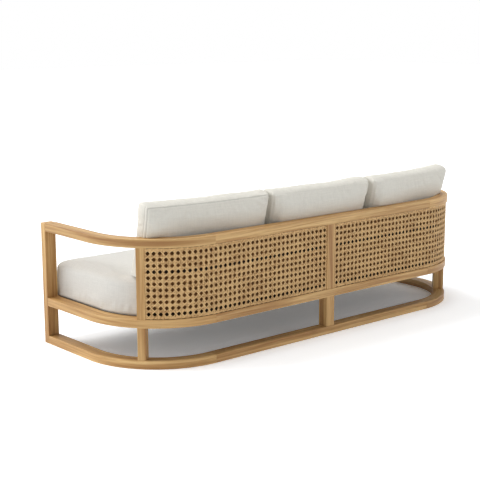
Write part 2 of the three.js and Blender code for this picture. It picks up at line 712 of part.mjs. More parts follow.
// The space that the frame and the seat cushions leave to nothing else.
function keepOut() {
  const insets = [-CUT_OVERRUN, RAIL_WIDTH + BACK_CUSHION_REST_GAP];
  const section = squareSection(insets, [SEAT_RAIL_TOP, TOP_RAIL_TOP + BACK_CUSHION_REST_GAP]);
  const backAndLeft = sweptSolid(stationsBetween(-ARC_X, ARM_END_S), section);
  const deck = boxSolid([-HALF_LENGTH, HALF_LENGTH], [FRONT_Y, BACK_Y],
    [SEAT_RAIL_BOTTOM, SEAT_CUSHION_TOP + BACK_CUSHION_REST_GAP]);
  return backAndLeft.add(acrossX(backAndLeft)).add(deck);
}

function backCushion({ across, forward, turn }) {
  const corners = OUTLINE_CORNERS.map(() => SOFT_CORNER);
  const back = BACK_Y - RAIL_WIDTH - forward;
  const [sinTurn, cosTurn] = [Math.sin(turn), Math.cos(turn)];
  const [sinLean, cosLean] = [Math.sin(BACK_CUSHION_LEAN), Math.cos(BACK_CUSHION_LEAN)];
  const bottom = SEAT_CUSHION_TOP - BACK_CUSHION_SINK;

  function placed([along, up], outward) {
    const depth = up * sinLean + outward * cosLean;
    return [
      across + along * cosTurn - depth * sinTurn,
      back + along * sinTurn + depth * cosTurn,
      bottom + up * cosLean - outward * sinLean,
    ];
  }

  return ringSolid(BACK_CUSHION_LEVELS.map(({ inset, height }) => (
    softOutline(BACK_CUSHION_X, [0, BACK_CUSHION_HEIGHT], corners, BACK_CUSHION_DRAW_IN, inset)
      .map((point) => placed(point, height)))));
}

const reserved = keepOut();
for (const cushion of BACK_CUSHIONS) {
  addPart(`back_cushion_${cushion.side}`, backCushion(cushion).subtract(reserved), FABRIC);
}

export default sofa;
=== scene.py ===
"""Builds the looks of a three-seat garden sofa around its fixed frame: rounded wooden rails and
posts, woven cane panels, back boards, a slatted deck and six loose cushions. Metres, +Z up."""

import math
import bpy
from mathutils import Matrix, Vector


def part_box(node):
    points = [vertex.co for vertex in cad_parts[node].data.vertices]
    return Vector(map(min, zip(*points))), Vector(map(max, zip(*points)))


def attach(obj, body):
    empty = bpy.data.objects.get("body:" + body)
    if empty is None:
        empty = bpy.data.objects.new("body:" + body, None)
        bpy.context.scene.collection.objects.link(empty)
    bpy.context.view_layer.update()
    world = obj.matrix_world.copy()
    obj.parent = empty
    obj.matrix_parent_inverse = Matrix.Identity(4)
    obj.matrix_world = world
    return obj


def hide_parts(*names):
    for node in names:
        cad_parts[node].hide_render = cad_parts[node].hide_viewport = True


bl_info = {
    "name": "Cane-back garden sofa",
    "version": (1, 0, 0),
    "blender": (4, 5, 0),
    "location": "3D View > Sidebar > Sofa",
    "description": "Makes the pieces of a three-seat garden sofa of wood and woven cane",
    "category": "Object",
}

import bmesh
import bpy
from bpy.props import FloatProperty, FloatVectorProperty, IntProperty, PointerProperty
from mathutils import Matrix, Vector, noise

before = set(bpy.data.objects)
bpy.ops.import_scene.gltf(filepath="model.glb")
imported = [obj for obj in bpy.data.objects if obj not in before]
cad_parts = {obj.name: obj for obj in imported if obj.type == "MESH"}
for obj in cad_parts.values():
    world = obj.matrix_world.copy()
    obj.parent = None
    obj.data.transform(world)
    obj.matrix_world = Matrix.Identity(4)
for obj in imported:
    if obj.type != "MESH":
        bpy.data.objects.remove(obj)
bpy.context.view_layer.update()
FRAME_BODY = "frame"
SIDES = {"left": 1, "right": -1}
TINY = 1e-6


# Sizes and colours


def maker(kind, **settings):
    """Makes one kind of property from its name, description and default"""
    def make(name, description, default, **more):
        return kind(name=name, description=description, default=default, **{**settings, **more})

    return make


length = maker(FloatProperty, unit="LENGTH", precision=4)
amount = maker(FloatProperty, min=0)
whole = maker(IntProperty, min=1)
colour = maker(FloatVectorProperty, size=3, subtype="COLOR", min=0, max=1)
radians = maker(FloatProperty, subtype="ANGLE")


def angle(name, description, degrees):
    return radians(name, description, math.radians(degrees))


class SofaFrameSizes(bpy.types.PropertyGroup):
    """Sizes of the wooden frame"""

    sofa_length: length("Length", "Length over both arms", 2.3)
    sofa_depth: length("Depth", "Depth from the front posts to the back rails", 0.808)
    corner_radius: length("Corner radius", "Radius of the outer face at the back corners", 0.415)
    rail_width: length("Rail width", "Width of every rail seen from above", 0.063)
    rail_height: length("Rail height", "Height of every rail", 0.039)
    rail_ease: length("Rail rounding", "Radius of the long edges of the rails", 0.0024)
    seat_rail_bottom: length("Seat rail", "Height of the seat rail's underside", 0.189)
    top_rail_bottom: length("Top rail", "Height of the top rail's underside", 0.552)
    joint_gap: length("Joint gap", "Gap between glued pieces", 0.0003)
    end_ease: length("End rounding", "Radius of the edges round an end", 0.001)
    post_ease: length("Post rounding", "Radius of the long edges of the posts", 0.002)
    post_setback: length("Post setback", "How far the back posts stand in from the rails", 0.0035)
    corner_post_width: length("Corner post", "Width of the corner posts along the rails", 0.038)
    corner_post_angle: angle("Corner post angle", "Angle of the corner posts from the arm", 40.6)
    centre_post_width: length("Centre post", "Width of the centre post and of the front leg", 0.054)
    front_post_width: length("Front post width", "Width of the front posts from the front", 0.058)
    front_post_depth: length("Front post depth", "Depth of the front posts and of the apron", 0.038)
    apron_height: length("Apron height", "Height of the front apron", 0.063)
    bend_steps: whole("Bend steps", "Faces round each back corner", 48, min=8)
    ease_steps: whole("Rounding steps", "Faces round each long edge", 3)


class SofaDeckSizes(bpy.types.PropertyGroup):
    """Sizes of the deck and of the boards in the back"""

    slat_count: whole("Slats", "Number of seat slats", 14)
    slat_end_gap: length("Slat end gap", "Gap between the slats and the frame", 0.004)
    slat_ease: length("Slat rounding", "Radius of the edges of slats and boards", 0.002)
    ledger_size: length("Ledger", "Width and height of the ledgers", 0.02)
    board_inset: length("Board inset", "How far behind the rails' faces the boards lie", 0.038)
    board_thickness: length("Board thickness", "Thickness of the back boards", 0.014)
    board_housing: length("Board housing", "How deep the back boards stand in the posts", 0.01)
    backing_thickness: length("Backing", "Thickness of the sheet behind the back boards", 0.002)


class SofaCaneSizes(bpy.types.PropertyGroup):
    """Sizes of the woven cane"""

    rows: whole("Rows", "Rows of holes", 11)
    columns: whole("Columns", "Columns of holes", 38)
    row_pitch: length("Row pitch", "Distance between rows of holes", 0.0275)
    column_pitch: length("Column pitch", "Distance between columns of holes", 0.0274)
    top_row: length("Top row", "Height of the middle of the top row of holes", 0.5275)
    first_column: length("First column", "Its distance from the middle of the back", 0.0439)
    strand_width: length("Strand width", "Width of the upright and level strands", 0.0045)
    diagonal_width: length("Diagonal width", "Width of the diagonal strands", 0.0036)
    strand_thickness: length("Strand thickness", "Thickness of every strand", 0.0009)
    strand_crown: length("Strand crown", "How far a strand's middle stands proud", 0.0008)
    pair_spacing: length("Pair spacing", "Distance between the two strands of a pair", 0.0048)
    weave_depth: length("Weave depth", "How far strands rise and dip where they cross", 0.0009)
    groove_depth: length("Groove", "How deep the cane stands in the corner posts", 0.004)
    inset: length("Inset", "Distance of the cane from the rails' outer face", 0.0085)
    spline_size: length("Spline", "Width and height of the strips that hold the cane", 0.003)
    spline_start: length("Spline start", "Distance of the strips from the cane's inner end", 0.01)


class SofaCushionSizes(bpy.types.PropertyGroup):
    """Sizes of the cushions, and how they are filled"""

    seat_spacing: length("Seat cushion fineness", "Size of a seat cushion's faces", 0.012)
    back_spacing: length("Back cushion fineness", "Size of a back cushion's faces", 0.0084)
    pressure: amount("Pressure", "Pressure of the filling", 4.0)
    slack: amount("Slack", "Spare cloth, as a share of its size", 0.018)
    frames: whole("Frames", "Frames of the simulation", 20, min=2)
    most_swell: length("Most swell", "How far a point of the cover may move", 0.007)
    seam_depth: length("Seam depth", "Depth of the groove along a seam", 0.005)
    seam_reach: length("Seam reach", "Half of the width of the groove along a seam", 0.003)
    lump_height: length("Lump height", "Height of the slow unevenness of the filling", 0.0035)
    lump_rate: amount("Lump rate", "Lumps in a metre", 6.0)
    ripple_height: length("Ripple height", "Height of the finer unevenness of the cover", 0.0009)
    ripple_rate: amount("Ripple rate", "Ripples in a metre", 19.0)
    crown_reach: length("Crown reach", "How far in from a seam a panel is at full height", 0.15)
    rest_gap: length("Rest gap", "Gap between a cushion and what it rests on", 0.0005)
    side_seam: length("Side seam", "Distance of the side seams from the back panel", 0.018)
    back_length: length("Back cushion length", "Length of a back cushion", 0.6653)
    back_height: length("Back cushion height", "Height of a back cushion", 0.35)
    back_gusset: length("Gusset", "Width of the strip round a back cushion", 0.076)
    gusset_swell: length("Gusset swell", "How far the strip round a back cushion bulges", 0.004)
    back_crown: length("Back crown", "How far each face of a back cushion bulges", 0.034)
    back_corner: length("Back cushion corner", "Corner radius of a back cushion", 0.007)
    back_draw_in: length("Draw-in", "How far the sides of a back cushion pull in", 0.006)
    back_lean: angle("Lean", "How far the back cushions lean back", 13.0)
    back_sink: length("Sink", "How far a back cushion sinks into the seat", 0.003)
    seat_wall: length("Seat cushion wall", "Height of a seat cushion's wall", 0.15)
    seat_corner: length("Seat cushion corner", "Radius of a seat cushion's small corners", 0.01)
    seat_edge: length("Seat cushion edge", "Radius of a seat cushion's upper edge", 0.016)
    seat_foot: length("Seat cushion foot", "Radius of a seat cushion's lower edge", 0.003)
    seat_draw_in: length("Seat draw-in", "How far the sides of a seat cushion pull in", 0.002)
    seat_swell: length("Seat swell", "How far a seat cushion's walls bulge", 0.002)
    arm_reach: length("Arm reach", "How much nearer to the arms the cloth comes", 0.006)
    extra_crown: length("Extra crown", "More crown in front of the back cushions", 0.009)
    extra_end: length("Extra crown end", "Place where the extra crown has run out", 0.1)
    extra_fade: length("Extra crown fade", "Depth over which the extra crown runs out", 0.2)


class SofaFinishes(bpy.types.PropertyGroup):
    """Colours of the finishes"""

    wood_light: colour("Light wood", "Pale bands of the wood", (0.71, 0.47, 0.20))
    wood_middle: colour("Middle wood", "The wood's main colour", (0.49, 0.277, 0.096))
    wood_dark: colour("Dark wood", "Brown bands of the wood", (0.33, 0.155, 0.044))
    wood_pore: colour("Pores", "Fine dark lines in the wood", (0.16, 0.075, 0.028))
    # Board wood, darker than the frame's wood, partly as painted shade for the hollow behind the
    # cane
    board_wood_and_shade: colour("Stained boards", "Boards behind the cane", (0.30, 0.14, 0.045))
    # Near-black: painted shade on the sheet behind the back boards, and the colour of the strips
    # that hold the cane
    dark_wood: colour("Dark stain", "Sheet on the boards, strips at the cane", (0.05, 0.03, 0.016))
    deck_wood: colour("Stained deck", "Slats, ledgers and bearers of the deck", (0.13, 0.11, 0.09))
    cane_light: colour("Light cane", "Pale strands", (0.82, 0.55, 0.25))
    # Dark cane: brown strands, and the painted shade along the edges of every strand
    cane_dark_and_edge_shade: colour("Dark cane", "Brown strands and the edges of them all", (0.38, 0.20, 0.068))
    seat_cloth: colour("Seat cloth", "Cloth of the seat cushions", (0.74, 0.725, 0.68))
    back_cloth: colour("Back cloth", "Cloth of the back cushions", (0.80, 0.775, 0.70))


class SofaStageSizes(bpy.types.PropertyGroup):
    """Camera, floor and lamps"""

    camera_place: FloatVectorProperty(
        name="Camera", description="Place of the camera", default=(3.7713, 4.1059, 1.5079),
        subtype="XYZ")
    camera_heading: angle("Heading", "Turn of the camera from +X", -130.64)
    camera_dip: angle("Dip", "How far the camera looks down", 11.09)
    camera_roll: angle("Roll", "Turn of the camera about its line of sight", -0.17)
    camera_lens: amount("Lens", "Focal length in millimetres", 82.16)
    floor_size: length("Floor size", "Length of each side of the floor", 60.0)
    ambient: amount("Ambient light", "Strength of the world's light", 0.36)
    top_sun: amount("Top light", "Strength of the light from above", 0.93)
    top_width: angle("Top width", "Width of the light from above, which softens its shadows", 20.0)
    front_sun: amount("Front light", "Strength of the light from the front", 1.85)
    front_heading: angle("Front heading", "Where the front light comes from, from +X", -60.0)
    front_height: angle("Front height", "Height of the front light above the horizon", 45.0)
    side_sun: amount("Side light", "Strength of the light on the left arm", 0.83)
    side_heading: angle("Side heading", "Where the side light comes from, from +X", -15.0)
    back_sun: amount("Back light", "Strength of the light on the back", 0.50)
    back_heading: angle("Back heading", "Where the back light comes from, from +X", 130.0)
    low_height: angle("Low height", "Height of the side and back lights above the horizon", 15.0)
    wide: angle("Width", "Width of the front, side and back lights", 40.0)
    floor_colour: colour("Floor", "Colour of the floor", (0.92, 0.94, 0.96))
    floor_gain: amount("Floor gain", "How much paler the camera sees the floor", 1.33)
    floor_glow: amount("Floor glow", "White that the camera sees on the floor", 0.08)


# The plan line: s runs along the outer face from the middle of the back round a corner to an arm


class PlanLine:
    """Where things stand along the outer face of the frame"""

    def __init__(self, sizes):
        self.radius = sizes.corner_radius
        self.half_length = sizes.sofa_length / 2
        self.back = sizes.sofa_depth / 2
        self.front = -self.back
        self.bend_x = self.half_length - self.radius
        self.bend_y = self.back - self.radius
        self.bend_end = self.bend_x + self.radius * math.pi / 2
        self.steps = sizes.bend_steps
        self.seat_top = sizes.seat_rail_bottom + sizes.rail_height
        self.arm_top = sizes.top_rail_bottom + sizes.rail_height
        self.post = self.bend_x + self.radius * (math.pi / 2 - sizes.corner_post_angle)
        self.post_edge = self.post - sizes.corner_post_width / 2

    def turn(self, s):
        return min(max((s - self.bend_x) / self.radius, 0), math.pi / 2)

    def place(self, s, inset, height):
        turn = self.turn(s)
        reach = self.radius - inset
        x = min(s, self.bend_x) + math.sin(turn) * reach
        y = self.bend_y + math.cos(turn) * reach - max(s - self.bend_end, 0)
        return Vector((x, y, height))

    def locate(self, point):
        """Distance along the line, distance into the sofa, and height"""
        across, deep = abs(point.x) - self.bend_x, point.y - self.bend_y
        side = math.copysign(1, point.x)
        if across <= 0:
            return Vector((point.x, self.back - point.y, point.z))
        if deep <= 0:
            return Vector((side * (self.bend_end - deep), self.half_length - abs(point.x), point.z))
        s = self.bend_x + self.radius * math.atan2(across, deep)
        return Vector((side * s, self.radius - math.hypot(across, deep), point.z))

    def arm_place(self, y):
        return self.bend_end + self.bend_y - y


# Making pieces


# Faces round the edges of ends and of small pieces
SMALL_STEPS = 2


def bevel(bm, geometry, offset, segments, affect="EDGES"):
    return bmesh.ops.bevel(
        bm, geom=list(geometry), offset=offset, offset_type="OFFSET", segments=segments,
        profile=0.5, affect=affect, material=-1)


def rounded_face(bm, corners, ease, steps):
    """A flat face on these corners, each of them rounded"""
    face = bm.faces.new([bm.verts.new(corner) for corner in corners])
    bevel(bm, face.verts, ease, steps, "VERTICES")
    bm.faces.ensure_lookup_table()
    return bm.faces[0]


def of_kind(geometry, kind):
    return [part for part in geometry if isinstance(part, kind)]


def push_face(bm, face, travel):
    made = bmesh.ops.extrude_face_region(bm, geom=[face])["geom"]
    bmesh.ops.translate(bm, vec=travel, verts=of_kind(made, bmesh.types.BMVert))
    return of_kind(made, bmesh.types.BMFace)[0]


def turn_face(bm, face, centre, turn, steps):
    made = bmesh.ops.spin(
        bm, geom=[face], cent=centre, axis=(0, 0, 1), angle=turn, steps=steps, use_duplicate=False)
    return of_kind(made["geom_last"], bmesh.types.BMFace)[0]


def round_ends(bm, first, tip, ease):
    """Turns all faces outwards and rounds the edges of both end faces"""
    bmesh.ops.recalc_face_normals(bm, faces=bm.faces)
    ends = [face for face in (first, tip) if face.is_valid]
    bevel(bm, {edge for face in ends for edge in face.edges}, ease, SMALL_STEPS)


def swept_bar(plan, stretch, insets, heights, ease, steps, end_ease):
    """A bar along the plan line, from one place to another"""
    bm = bmesh.new()
    start, end = stretch
    (near, far), (low, high) = insets, heights
    corners = [(near, low), (far, low), (far, high), (near, high)]
    first = rounded_face(bm, [plan.place(start, inset, z) for inset, z in corners], ease, steps)
    tip = first
    stops = [start, *(s for s in (plan.bend_x, plan.bend_end) if start < s < end), end]
    for here, there in zip(stops, stops[1:]):
        turn = plan.turn(there) - plan.turn(here)
        if plan.bend_x < (here + there) / 2 < plan.bend_end:
            centre = (plan.bend_x, plan.bend_y, low)
            count = max(1, round(plan.steps * turn / (math.pi / 2)))
            tip = turn_face(bm, tip, centre, -turn, count)
        else:
            tip = push_face(bm, tip, plan.place(there, near, low) - plan.place(here, near, low))
    round_ends(bm, first, tip, end_ease)
    return bm


def straight_bar(corners, travel, ease, steps, end_ease):
    """A bar from a face on these corners"""
    bm = bmesh.new()
    first = rounded_face(bm, corners, ease, steps)
    tip = push_face(bm, first, travel)
    round_ends(bm, first, tip, end_ease)
    return bm


def box_bar(ranges, axis, ease, steps, end_ease):
    """A straight bar that fills three ranges and runs along an axis"""
    first, second = [other for other in range(3) if other != axis]
    corners = []
    for ends in ((0, 0), (1, 0), (1, 1), (0, 1)):
        corner = Vector([limits[0] for limits in ranges])
        corner[first], corner[second] = ranges[first][ends[0]], ranges[second][ends[1]]
        corners.append(corner)
    travel = Vector((0, 0, 0))
    travel[axis] = ranges[axis][1] - ranges[axis][0]
    return straight_bar(corners, travel, ease, steps, end_ease)


def on_side(bm, side):
    """A left piece as it is, or mirrored to make the right one"""
    if side == "right":
        bmesh.ops.scale(bm, vec=(-1, 1, 1), verts=bm.verts)
        bmesh.ops.reverse_faces(bm, faces=bm.faces)
    return bm


def axis_grain(axis):
    """Grain that runs along an axis"""
    first, second = [other for other in range(3) if other != axis]
    return lambda point: Vector((point[axis], point[first], point[second]))


def new_object(name, data):
    made = bpy.data.objects.new(name, data)
    bpy.context.scene.collection.objects.link(made)
    return made


def mesh_object(name, bm, material):
    mesh = bpy.data.meshes.new(name)
    bm.to_mesh(mesh)
    bm.free()
    mesh.materials.append(material)
    return new_object(name, mesh)


# How far apart the pieces lie in the grain, so that no two are alike
PIECE_SHIFT = Vector((3.47, 1.37, 2.29))


def wooden_piece(bm, node, grain, material=None):
    """Makes an object of a bmesh, in place of its CAD node if it has one, with its grain"""
    number = wooden_piece.count = wooden_piece.count + 1
    bmesh.ops.recalc_face_normals(bm, faces=bm.faces)
    layer = bm.verts.layers.float_vector.new("grain")
    for vertex in bm.verts:
        vertex[layer] = grain(vertex.co) + PIECE_SHIFT * number
    piece = mesh_object(node + "_wood", bm, material or wood_material())
    piece.data.shade_smooth()
    piece.modifiers.new("Even shading", "WEIGHTED_NORMAL").keep_sharp = True
    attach(piece, FRAME_BODY)
    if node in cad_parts:
        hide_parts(node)


wooden_piece.count = 0


# Materials


def add_node(tree, kind, inputs=(), **settings):
    node = tree.nodes.new(kind)
    for key, value in settings.items():
        setattr(node, key, value)
    for key, value in dict(inputs).items():
        if isinstance(value, bpy.types.NodeSocket):
            tree.links.new(value, node.inputs[key])
        else:
            node.inputs[key].default_value = value
    return node


def shared_material(name, build, *details):
    """The material of this name, which is built the first time that it is asked for"""
    if name in bpy.data.materials:
        return bpy.data.materials[name]
    material = bpy.data.materials.new(name)
    material.use_nodes = True
    material.node_tree.nodes.clear()
    build(material.node_tree, *details)
    return material


def stretched_noise(tree, vector, scale, detail, roughness=0.55, distortion=0.0):
    mapping = add_node(tree, "ShaderNodeMapping", {"Vector": vector, "Scale": scale})
    return add_node(tree, "ShaderNodeTexNoise", {
        "Vector": mapping.outputs["Vector"], "Scale": 1.0, "Detail": detail, "Roughness": roughness,
        "Distortion": distortion}).outputs["Fac"]


def ramp(tree, value, stops):
    node = add_node(tree, "ShaderNodeValToRGB", {"Fac": value})
    elements = node.color_ramp.elements
    while len(elements) < len(stops):
        elements.new(0.5)
    for element, (position, shade) in zip(elements, stops):
        element.position = position
        element.color = opaque(shade)
    return node.outputs["Color"]


def mix_colours(tree, share, first, second):
    node = add_node(tree, "ShaderNodeMix", data_type="RGBA")
    for index, value in ((0, share), (6, first), (7, second)):
        socket = node.inputs[index]
        if isinstance(value, bpy.types.NodeSocket):
            tree.links.new(value, socket)
        else:
            socket.default_value = value
    return node.outputs[2]


def span(tree, value, low, high, to_low=0.0, to_high=1.0):
    return add_node(tree, "ShaderNodeMapRange", {
        "Value": value, "From Min": low, "From Max": high, "To Min": to_low,
        "To Max": to_high}).outputs["Result"]


def maths(tree, operation, first, second):
    node = add_node(tree, "ShaderNodeMath", {0: first, 1: second}, operation=operation)
    return node.outputs["Value"]


def bump(tree, height, strength, distance):
    return add_node(tree, "ShaderNodeBump", {
        "Height": height, "Strength": strength, "Distance": distance}).outputs["Normal"]


def surface(tree, inputs):
    shader = add_node(tree, "ShaderNodeBsdfPrincipled", inputs)
    output = add_node(tree, "ShaderNodeOutputMaterial")
    tree.links.new(shader.outputs["BSDF"], output.inputs["Surface"])


def opaque(shade):
    return (*shade, 1.0)


def tone(shade, share):
    return [channel * share for channel in shade]


# Each noise's stretch along and across the grain, its detail, roughness and distortion
BANDS = ((1.5, 42.0, 42.0), 4.0, 0.6, 0.7)
STREAKS = ((2.4, 95.0, 95.0), 3.0, 0.55, 0.3)
LINES = ((4.0, 240.0, 240.0), 3.0, 0.6)
PORES = ((24.0, 900.0, 900.0), 2.0)
STAIN_BANDS = ((1.5, 40.0, 40.0), 3.0, 0.6, 0.5)
STAIN_PORES = ((24.0, 700.0, 700.0), 2.0)
STAVE_LENGTH = 0.62
STAVE_TONES = (0.95, 1.07)
DEEP_STAIN = 0.55


def grain_map(tree):
    return add_node(tree, "ShaderNodeAttribute", attribute_name="grain").outputs["Vector"]


def build_wood(tree):
    """Oiled wood in staves of slightly different tones, with bands, streaks and fine pores"""
    finishes = bpy.context.scene.sofa_finishes
    grain = grain_map(tree)
    bands, streaks, lines, pores = (
        stretched_noise(tree, grain, *details) for details in (BANDS, STREAKS, LINES, PORES))
    colours = ramp(tree, bands, [
        (0.34, finishes.wood_dark), (0.50, finishes.wood_middle), (0.67, finishes.wood_light)])
    # A layer starts at one height of its noise and reaches its full share at the other
    layers = (
        (streaks, 0.55, 0.70, 0.42, finishes.wood_dark),
        (streaks, 0.45, 0.30, 0.42, finishes.wood_light),
        (lines, 0.52, 0.75, 0.35, finishes.wood_dark),
        (pores, 0.60, 0.74, 0.30, finishes.wood_pore),
    )
    for height, start, full, most, shade in layers:
        share = span(tree, height, start, full, 0.0, most)
        colours = mix_colours(tree, share, colours, opaque(shade))
    along = add_node(tree, "ShaderNodeSeparateXYZ", {0: grain}).outputs["X"]
    stave = add_node(
        tree, "ShaderNodeTexWhiteNoise", {"W": maths(tree, "SNAP", along, STAVE_LENGTH)},
        noise_dimensions="1D").outputs["Value"]
    toned = add_node(tree, "ShaderNodeHueSaturation", {
        "Color": colours, "Value": span(tree, stave, 0, 1, *STAVE_TONES)}).outputs["Color"]
    relief = maths(tree, "ADD", lines, maths(tree, "MULTIPLY", pores, -0.6))
    surface(tree, {
        "Base Color": toned,
        "Roughness": span(tree, lines, 0.3, 0.7, 0.42, 0.58),
        "Specular IOR Level": 0.45,
        "Normal": bump(tree, relief, 0.25, 0.0006),
    })


def wood_material():
    return shared_material("oiled_wood", build_wood)


def build_darkened_wood(tree, shade):
    """Wood darkened all over, under which the grain still shows; on the boards behind the cane the
    darkness is partly painted shade, on the sheet behind them it is painted shade
    """
    grain = grain_map(tree)
    bands = stretched_noise(tree, grain, *STAIN_BANDS)
    pores = stretched_noise(tree, grain, *STAIN_PORES)
    surface(tree, {
        "Base Color": ramp(tree, bands, [(0.35, tone(shade, DEEP_STAIN)), (0.65, shade)]),
        "Roughness": span(tree, pores, 0.3, 0.7, 0.6, 0.8),
        "Specular IOR Level": 0.2,
        "Normal": bump(tree, pores, 0.3, 0.0006),
    })


def darkened_material(name, shade):
    return shared_material(name, build_darkened_wood, shade)


# Near-black wood: painted shade on the sheet behind the boards, and the strips at the cane
def dark_stain():
    return darkened_material("dark_stain", bpy.context.scene.sofa_finishes.dark_wood)


def build_cane(tree):
    """Split cane with a slight gloss, each strand of its own tone, with shade painted along its
    edges
    """
    finishes = bpy.context.scene.sofa_finishes
    dark = opaque(finishes.cane_dark_and_edge_shade)
    strand = add_node(tree, "ShaderNodeAttribute", attribute_name="strand").outputs["Vector"]
    tones = stretched_noise(tree, strand, (9.0, 0.0, 40.0), 2.0)
    fibres = stretched_noise(tree, strand, (30.0, 1500.0, 7.0), 2.0)
    offset = add_node(tree, "ShaderNodeSeparateXYZ", {0: strand}).outputs["Y"]
    # Painted shade: each strand darkens towards its edges
    edge = span(tree, maths(tree, "ABSOLUTE", offset, 0.0), 0.0008, 0.0022, 0.0, 0.75)
    colours = ramp(tree, tones, [(0.34, finishes.cane_dark_and_edge_shade), (0.56, finishes.cane_light)])
    fibred = mix_colours(tree, span(tree, fibres, 0.5, 0.8, 0.0, 0.4), colours, dark)
    surface(tree, {
        "Base Color": mix_colours(tree, edge, fibred, dark),
        "Roughness": 0.5,
        "Specular IOR Level": 0.4,
        "Normal": bump(tree, fibres, 0.2, 0.0002),
    })


THREADS = {"Scale": 420.0, "Distortion": 1.2, "Detail": 1.0, "Detail Scale": 0.6}
SLUB_SIZES = (60.0, 14.0)


def build_cloth(tree, shade):
    """Woven outdoor cloth with slubs and a soft sheen, and painted shade inside its seams"""
    cloth = add_node(tree, "ShaderNodeUVMap", uv_map="cloth").outputs["UV"]
    threads, slubs = [], []
    for direction, stretch in (("X", (1.0, 12.0)), ("Y", (12.0, 1.0))):
        threads.append(add_node(
            tree, "ShaderNodeTexWave", {"Vector": cloth, **THREADS},
            bands_direction=direction).outputs["Fac"])
        fine, wide = (
            stretched_noise(tree, cloth, (*(size * part for part in stretch), 1.0), 2.0)
            for size in SLUB_SIZES)
        slubs.append(maths(tree, "ADD", fine, wide))
    weave = maths(tree, "MAXIMUM", *threads)
    slub = maths(tree, "ADD", *slubs)
    clouds = stretched_noise(tree, cloth, (5.0, 5.0, 5.0), 2.0)
    seam = add_node(tree, "ShaderNodeAttribute", attribute_name="seam").outputs["Fac"]
    shares = (
        (span(tree, slub, 1.6, 2.4), 0.88),
        (span(tree, clouds, 0.3, 0.7, 0.0, 0.35), 0.95),
        # Painted shade: the seam attribute darkens the cloth inside the seam grooves
        (span(tree, seam, 0.15, 0.9, 0.0, 0.38), 0.30),
    )
    colours = opaque(shade)
    for share, darkness in shares:
        colours = mix_colours(tree, share, colours, opaque(tone(shade, darkness)))
    surface(tree, {
        "Base Color": colours,
        "Roughness": 0.92,
        "Specular IOR Level": 0.2,
        "Sheen Weight": 0.12,
        "Sheen Roughness": 0.5,
        "Normal": bump(tree, maths(tree, "ADD", weave, slub), 0.3, 0.0005),
    })


# Frame


class SOFA_OT_rails(bpy.types.Operator):
    """Three U-shaped rails, each a straight back and two bent ends"""

    bl_idname = "sofa.rails"
    bl_label = "Rails"

    def execute(self, context):
        sizes = context.scene.sofa_frame
        plan = PlanLine(sizes)
        arm_end = plan.arm_place(plan.front + sizes.front_post_depth)
        stretch = (plan.bend_x + sizes.joint_gap, arm_end - sizes.joint_gap)
        insets = (0, sizes.rail_width)
        levels = {"base": 0.0, "seat": sizes.seat_rail_bottom, "top": sizes.top_rail_bottom}
        for level, bottom in levels.items():
            heights = (bottom, bottom + sizes.rail_height)
            bar = (insets, heights, sizes.rail_ease, sizes.ease_steps, sizes.end_ease)
            for side in SIDES:
                bent = swept_bar(plan, stretch, *bar)
                wooden_piece(on_side(bent, side), f"{level}_rail_{side}", plan.locate)
            ranges = ((-plan.bend_x, plan.bend_x), (plan.back, plan.back - insets[1]), heights)
            straight = box_bar(ranges, 0, *bar[2:])
            wooden_piece(straight, f"{level}_rail_back", plan.locate)
        return {"FINISHED"}


def post_bar(plan, sizes, s, width, heights):
    insets = (sizes.post_setback, sizes.rail_width - sizes.post_setback)
    low, high = heights
    outer, inner = plan.place(s, insets[0], low), plan.place(s, insets[1], low)
    inward = (inner - outer).normalized()
    along = Vector((-inward.y, inward.x, 0)) * width / 2
    corners = [outer - along, outer + along, inner + along, inner - along]
    return straight_bar(
        corners, Vector((0, 0, high - low)), sizes.post_ease, SMALL_STEPS, sizes.end_ease / 2)


class SOFA_OT_posts(bpy.types.Operator):
    """Corner posts and centre posts between the back rails"""

    bl_idname = "sofa.posts"
    bl_label = "Back posts"

    def execute(self, context):
        sizes = context.scene.sofa_frame
        plan = PlanLine(sizes)
        gap = sizes.joint_gap
        lengths = {
            "lower": (sizes.rail_height + gap, sizes.seat_rail_bottom - gap),
            "upper": (plan.seat_top + gap, sizes.top_rail_bottom - gap),
        }
        for level, heights in lengths.items():
            for side in SIDES:
                post = post_bar(plan, sizes, plan.post, sizes.corner_post_width, heights)
                wooden_piece(on_side(post, side), f"{level}_corner_post_{side}", axis_grain(2))
            post = post_bar(plan, sizes, 0, sizes.centre_post_width, heights)
            wooden_piece(post, f"{level}_centre_post", axis_grain(2))
        return {"FINISHED"}


class SOFA_OT_front(bpy.types.Operator):
    """Front posts, front apron and front leg"""

    bl_idname = "sofa.front"
    bl_label = "Front of the frame"

    def execute(self, context):
        sizes = context.scene.sofa_frame
        plan = PlanLine(sizes)
        apron_bottom = plan.seat_top - sizes.apron_height
        y_range = (plan.front, plan.front + sizes.front_post_depth)
        inner_x = plan.half_length - sizes.front_post_width
        rounding = (sizes.post_ease, sizes.ease_steps, sizes.end_ease)
        for side, sign in SIDES.items():
            x_range = sorted((sign * inner_x, sign * plan.half_length))
            post = box_bar((x_range, y_range, (0, plan.arm_top)), 2, *rounding[:2], sizes.post_ease)
            wooden_piece(post, f"front_post_{side}", axis_grain(2))
        reach = inner_x - sizes.joint_gap
        apron = box_bar(((-reach, reach), y_range, (apron_bottom, plan.seat_top)), 0, *rounding)
        wooden_piece(apron, "front_apron", axis_grain(0))
        half = sizes.centre_post_width / 2
        leg = box_bar(((-half, half), y_range, (0, apron_bottom - sizes.joint_gap)), 2, *rounding)
        wooden_piece(leg, "front_leg", axis_grain(2))
        return {"FINISHED"}


def node_ranges(node):
    low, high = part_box(node)
    return list(zip(low, high))


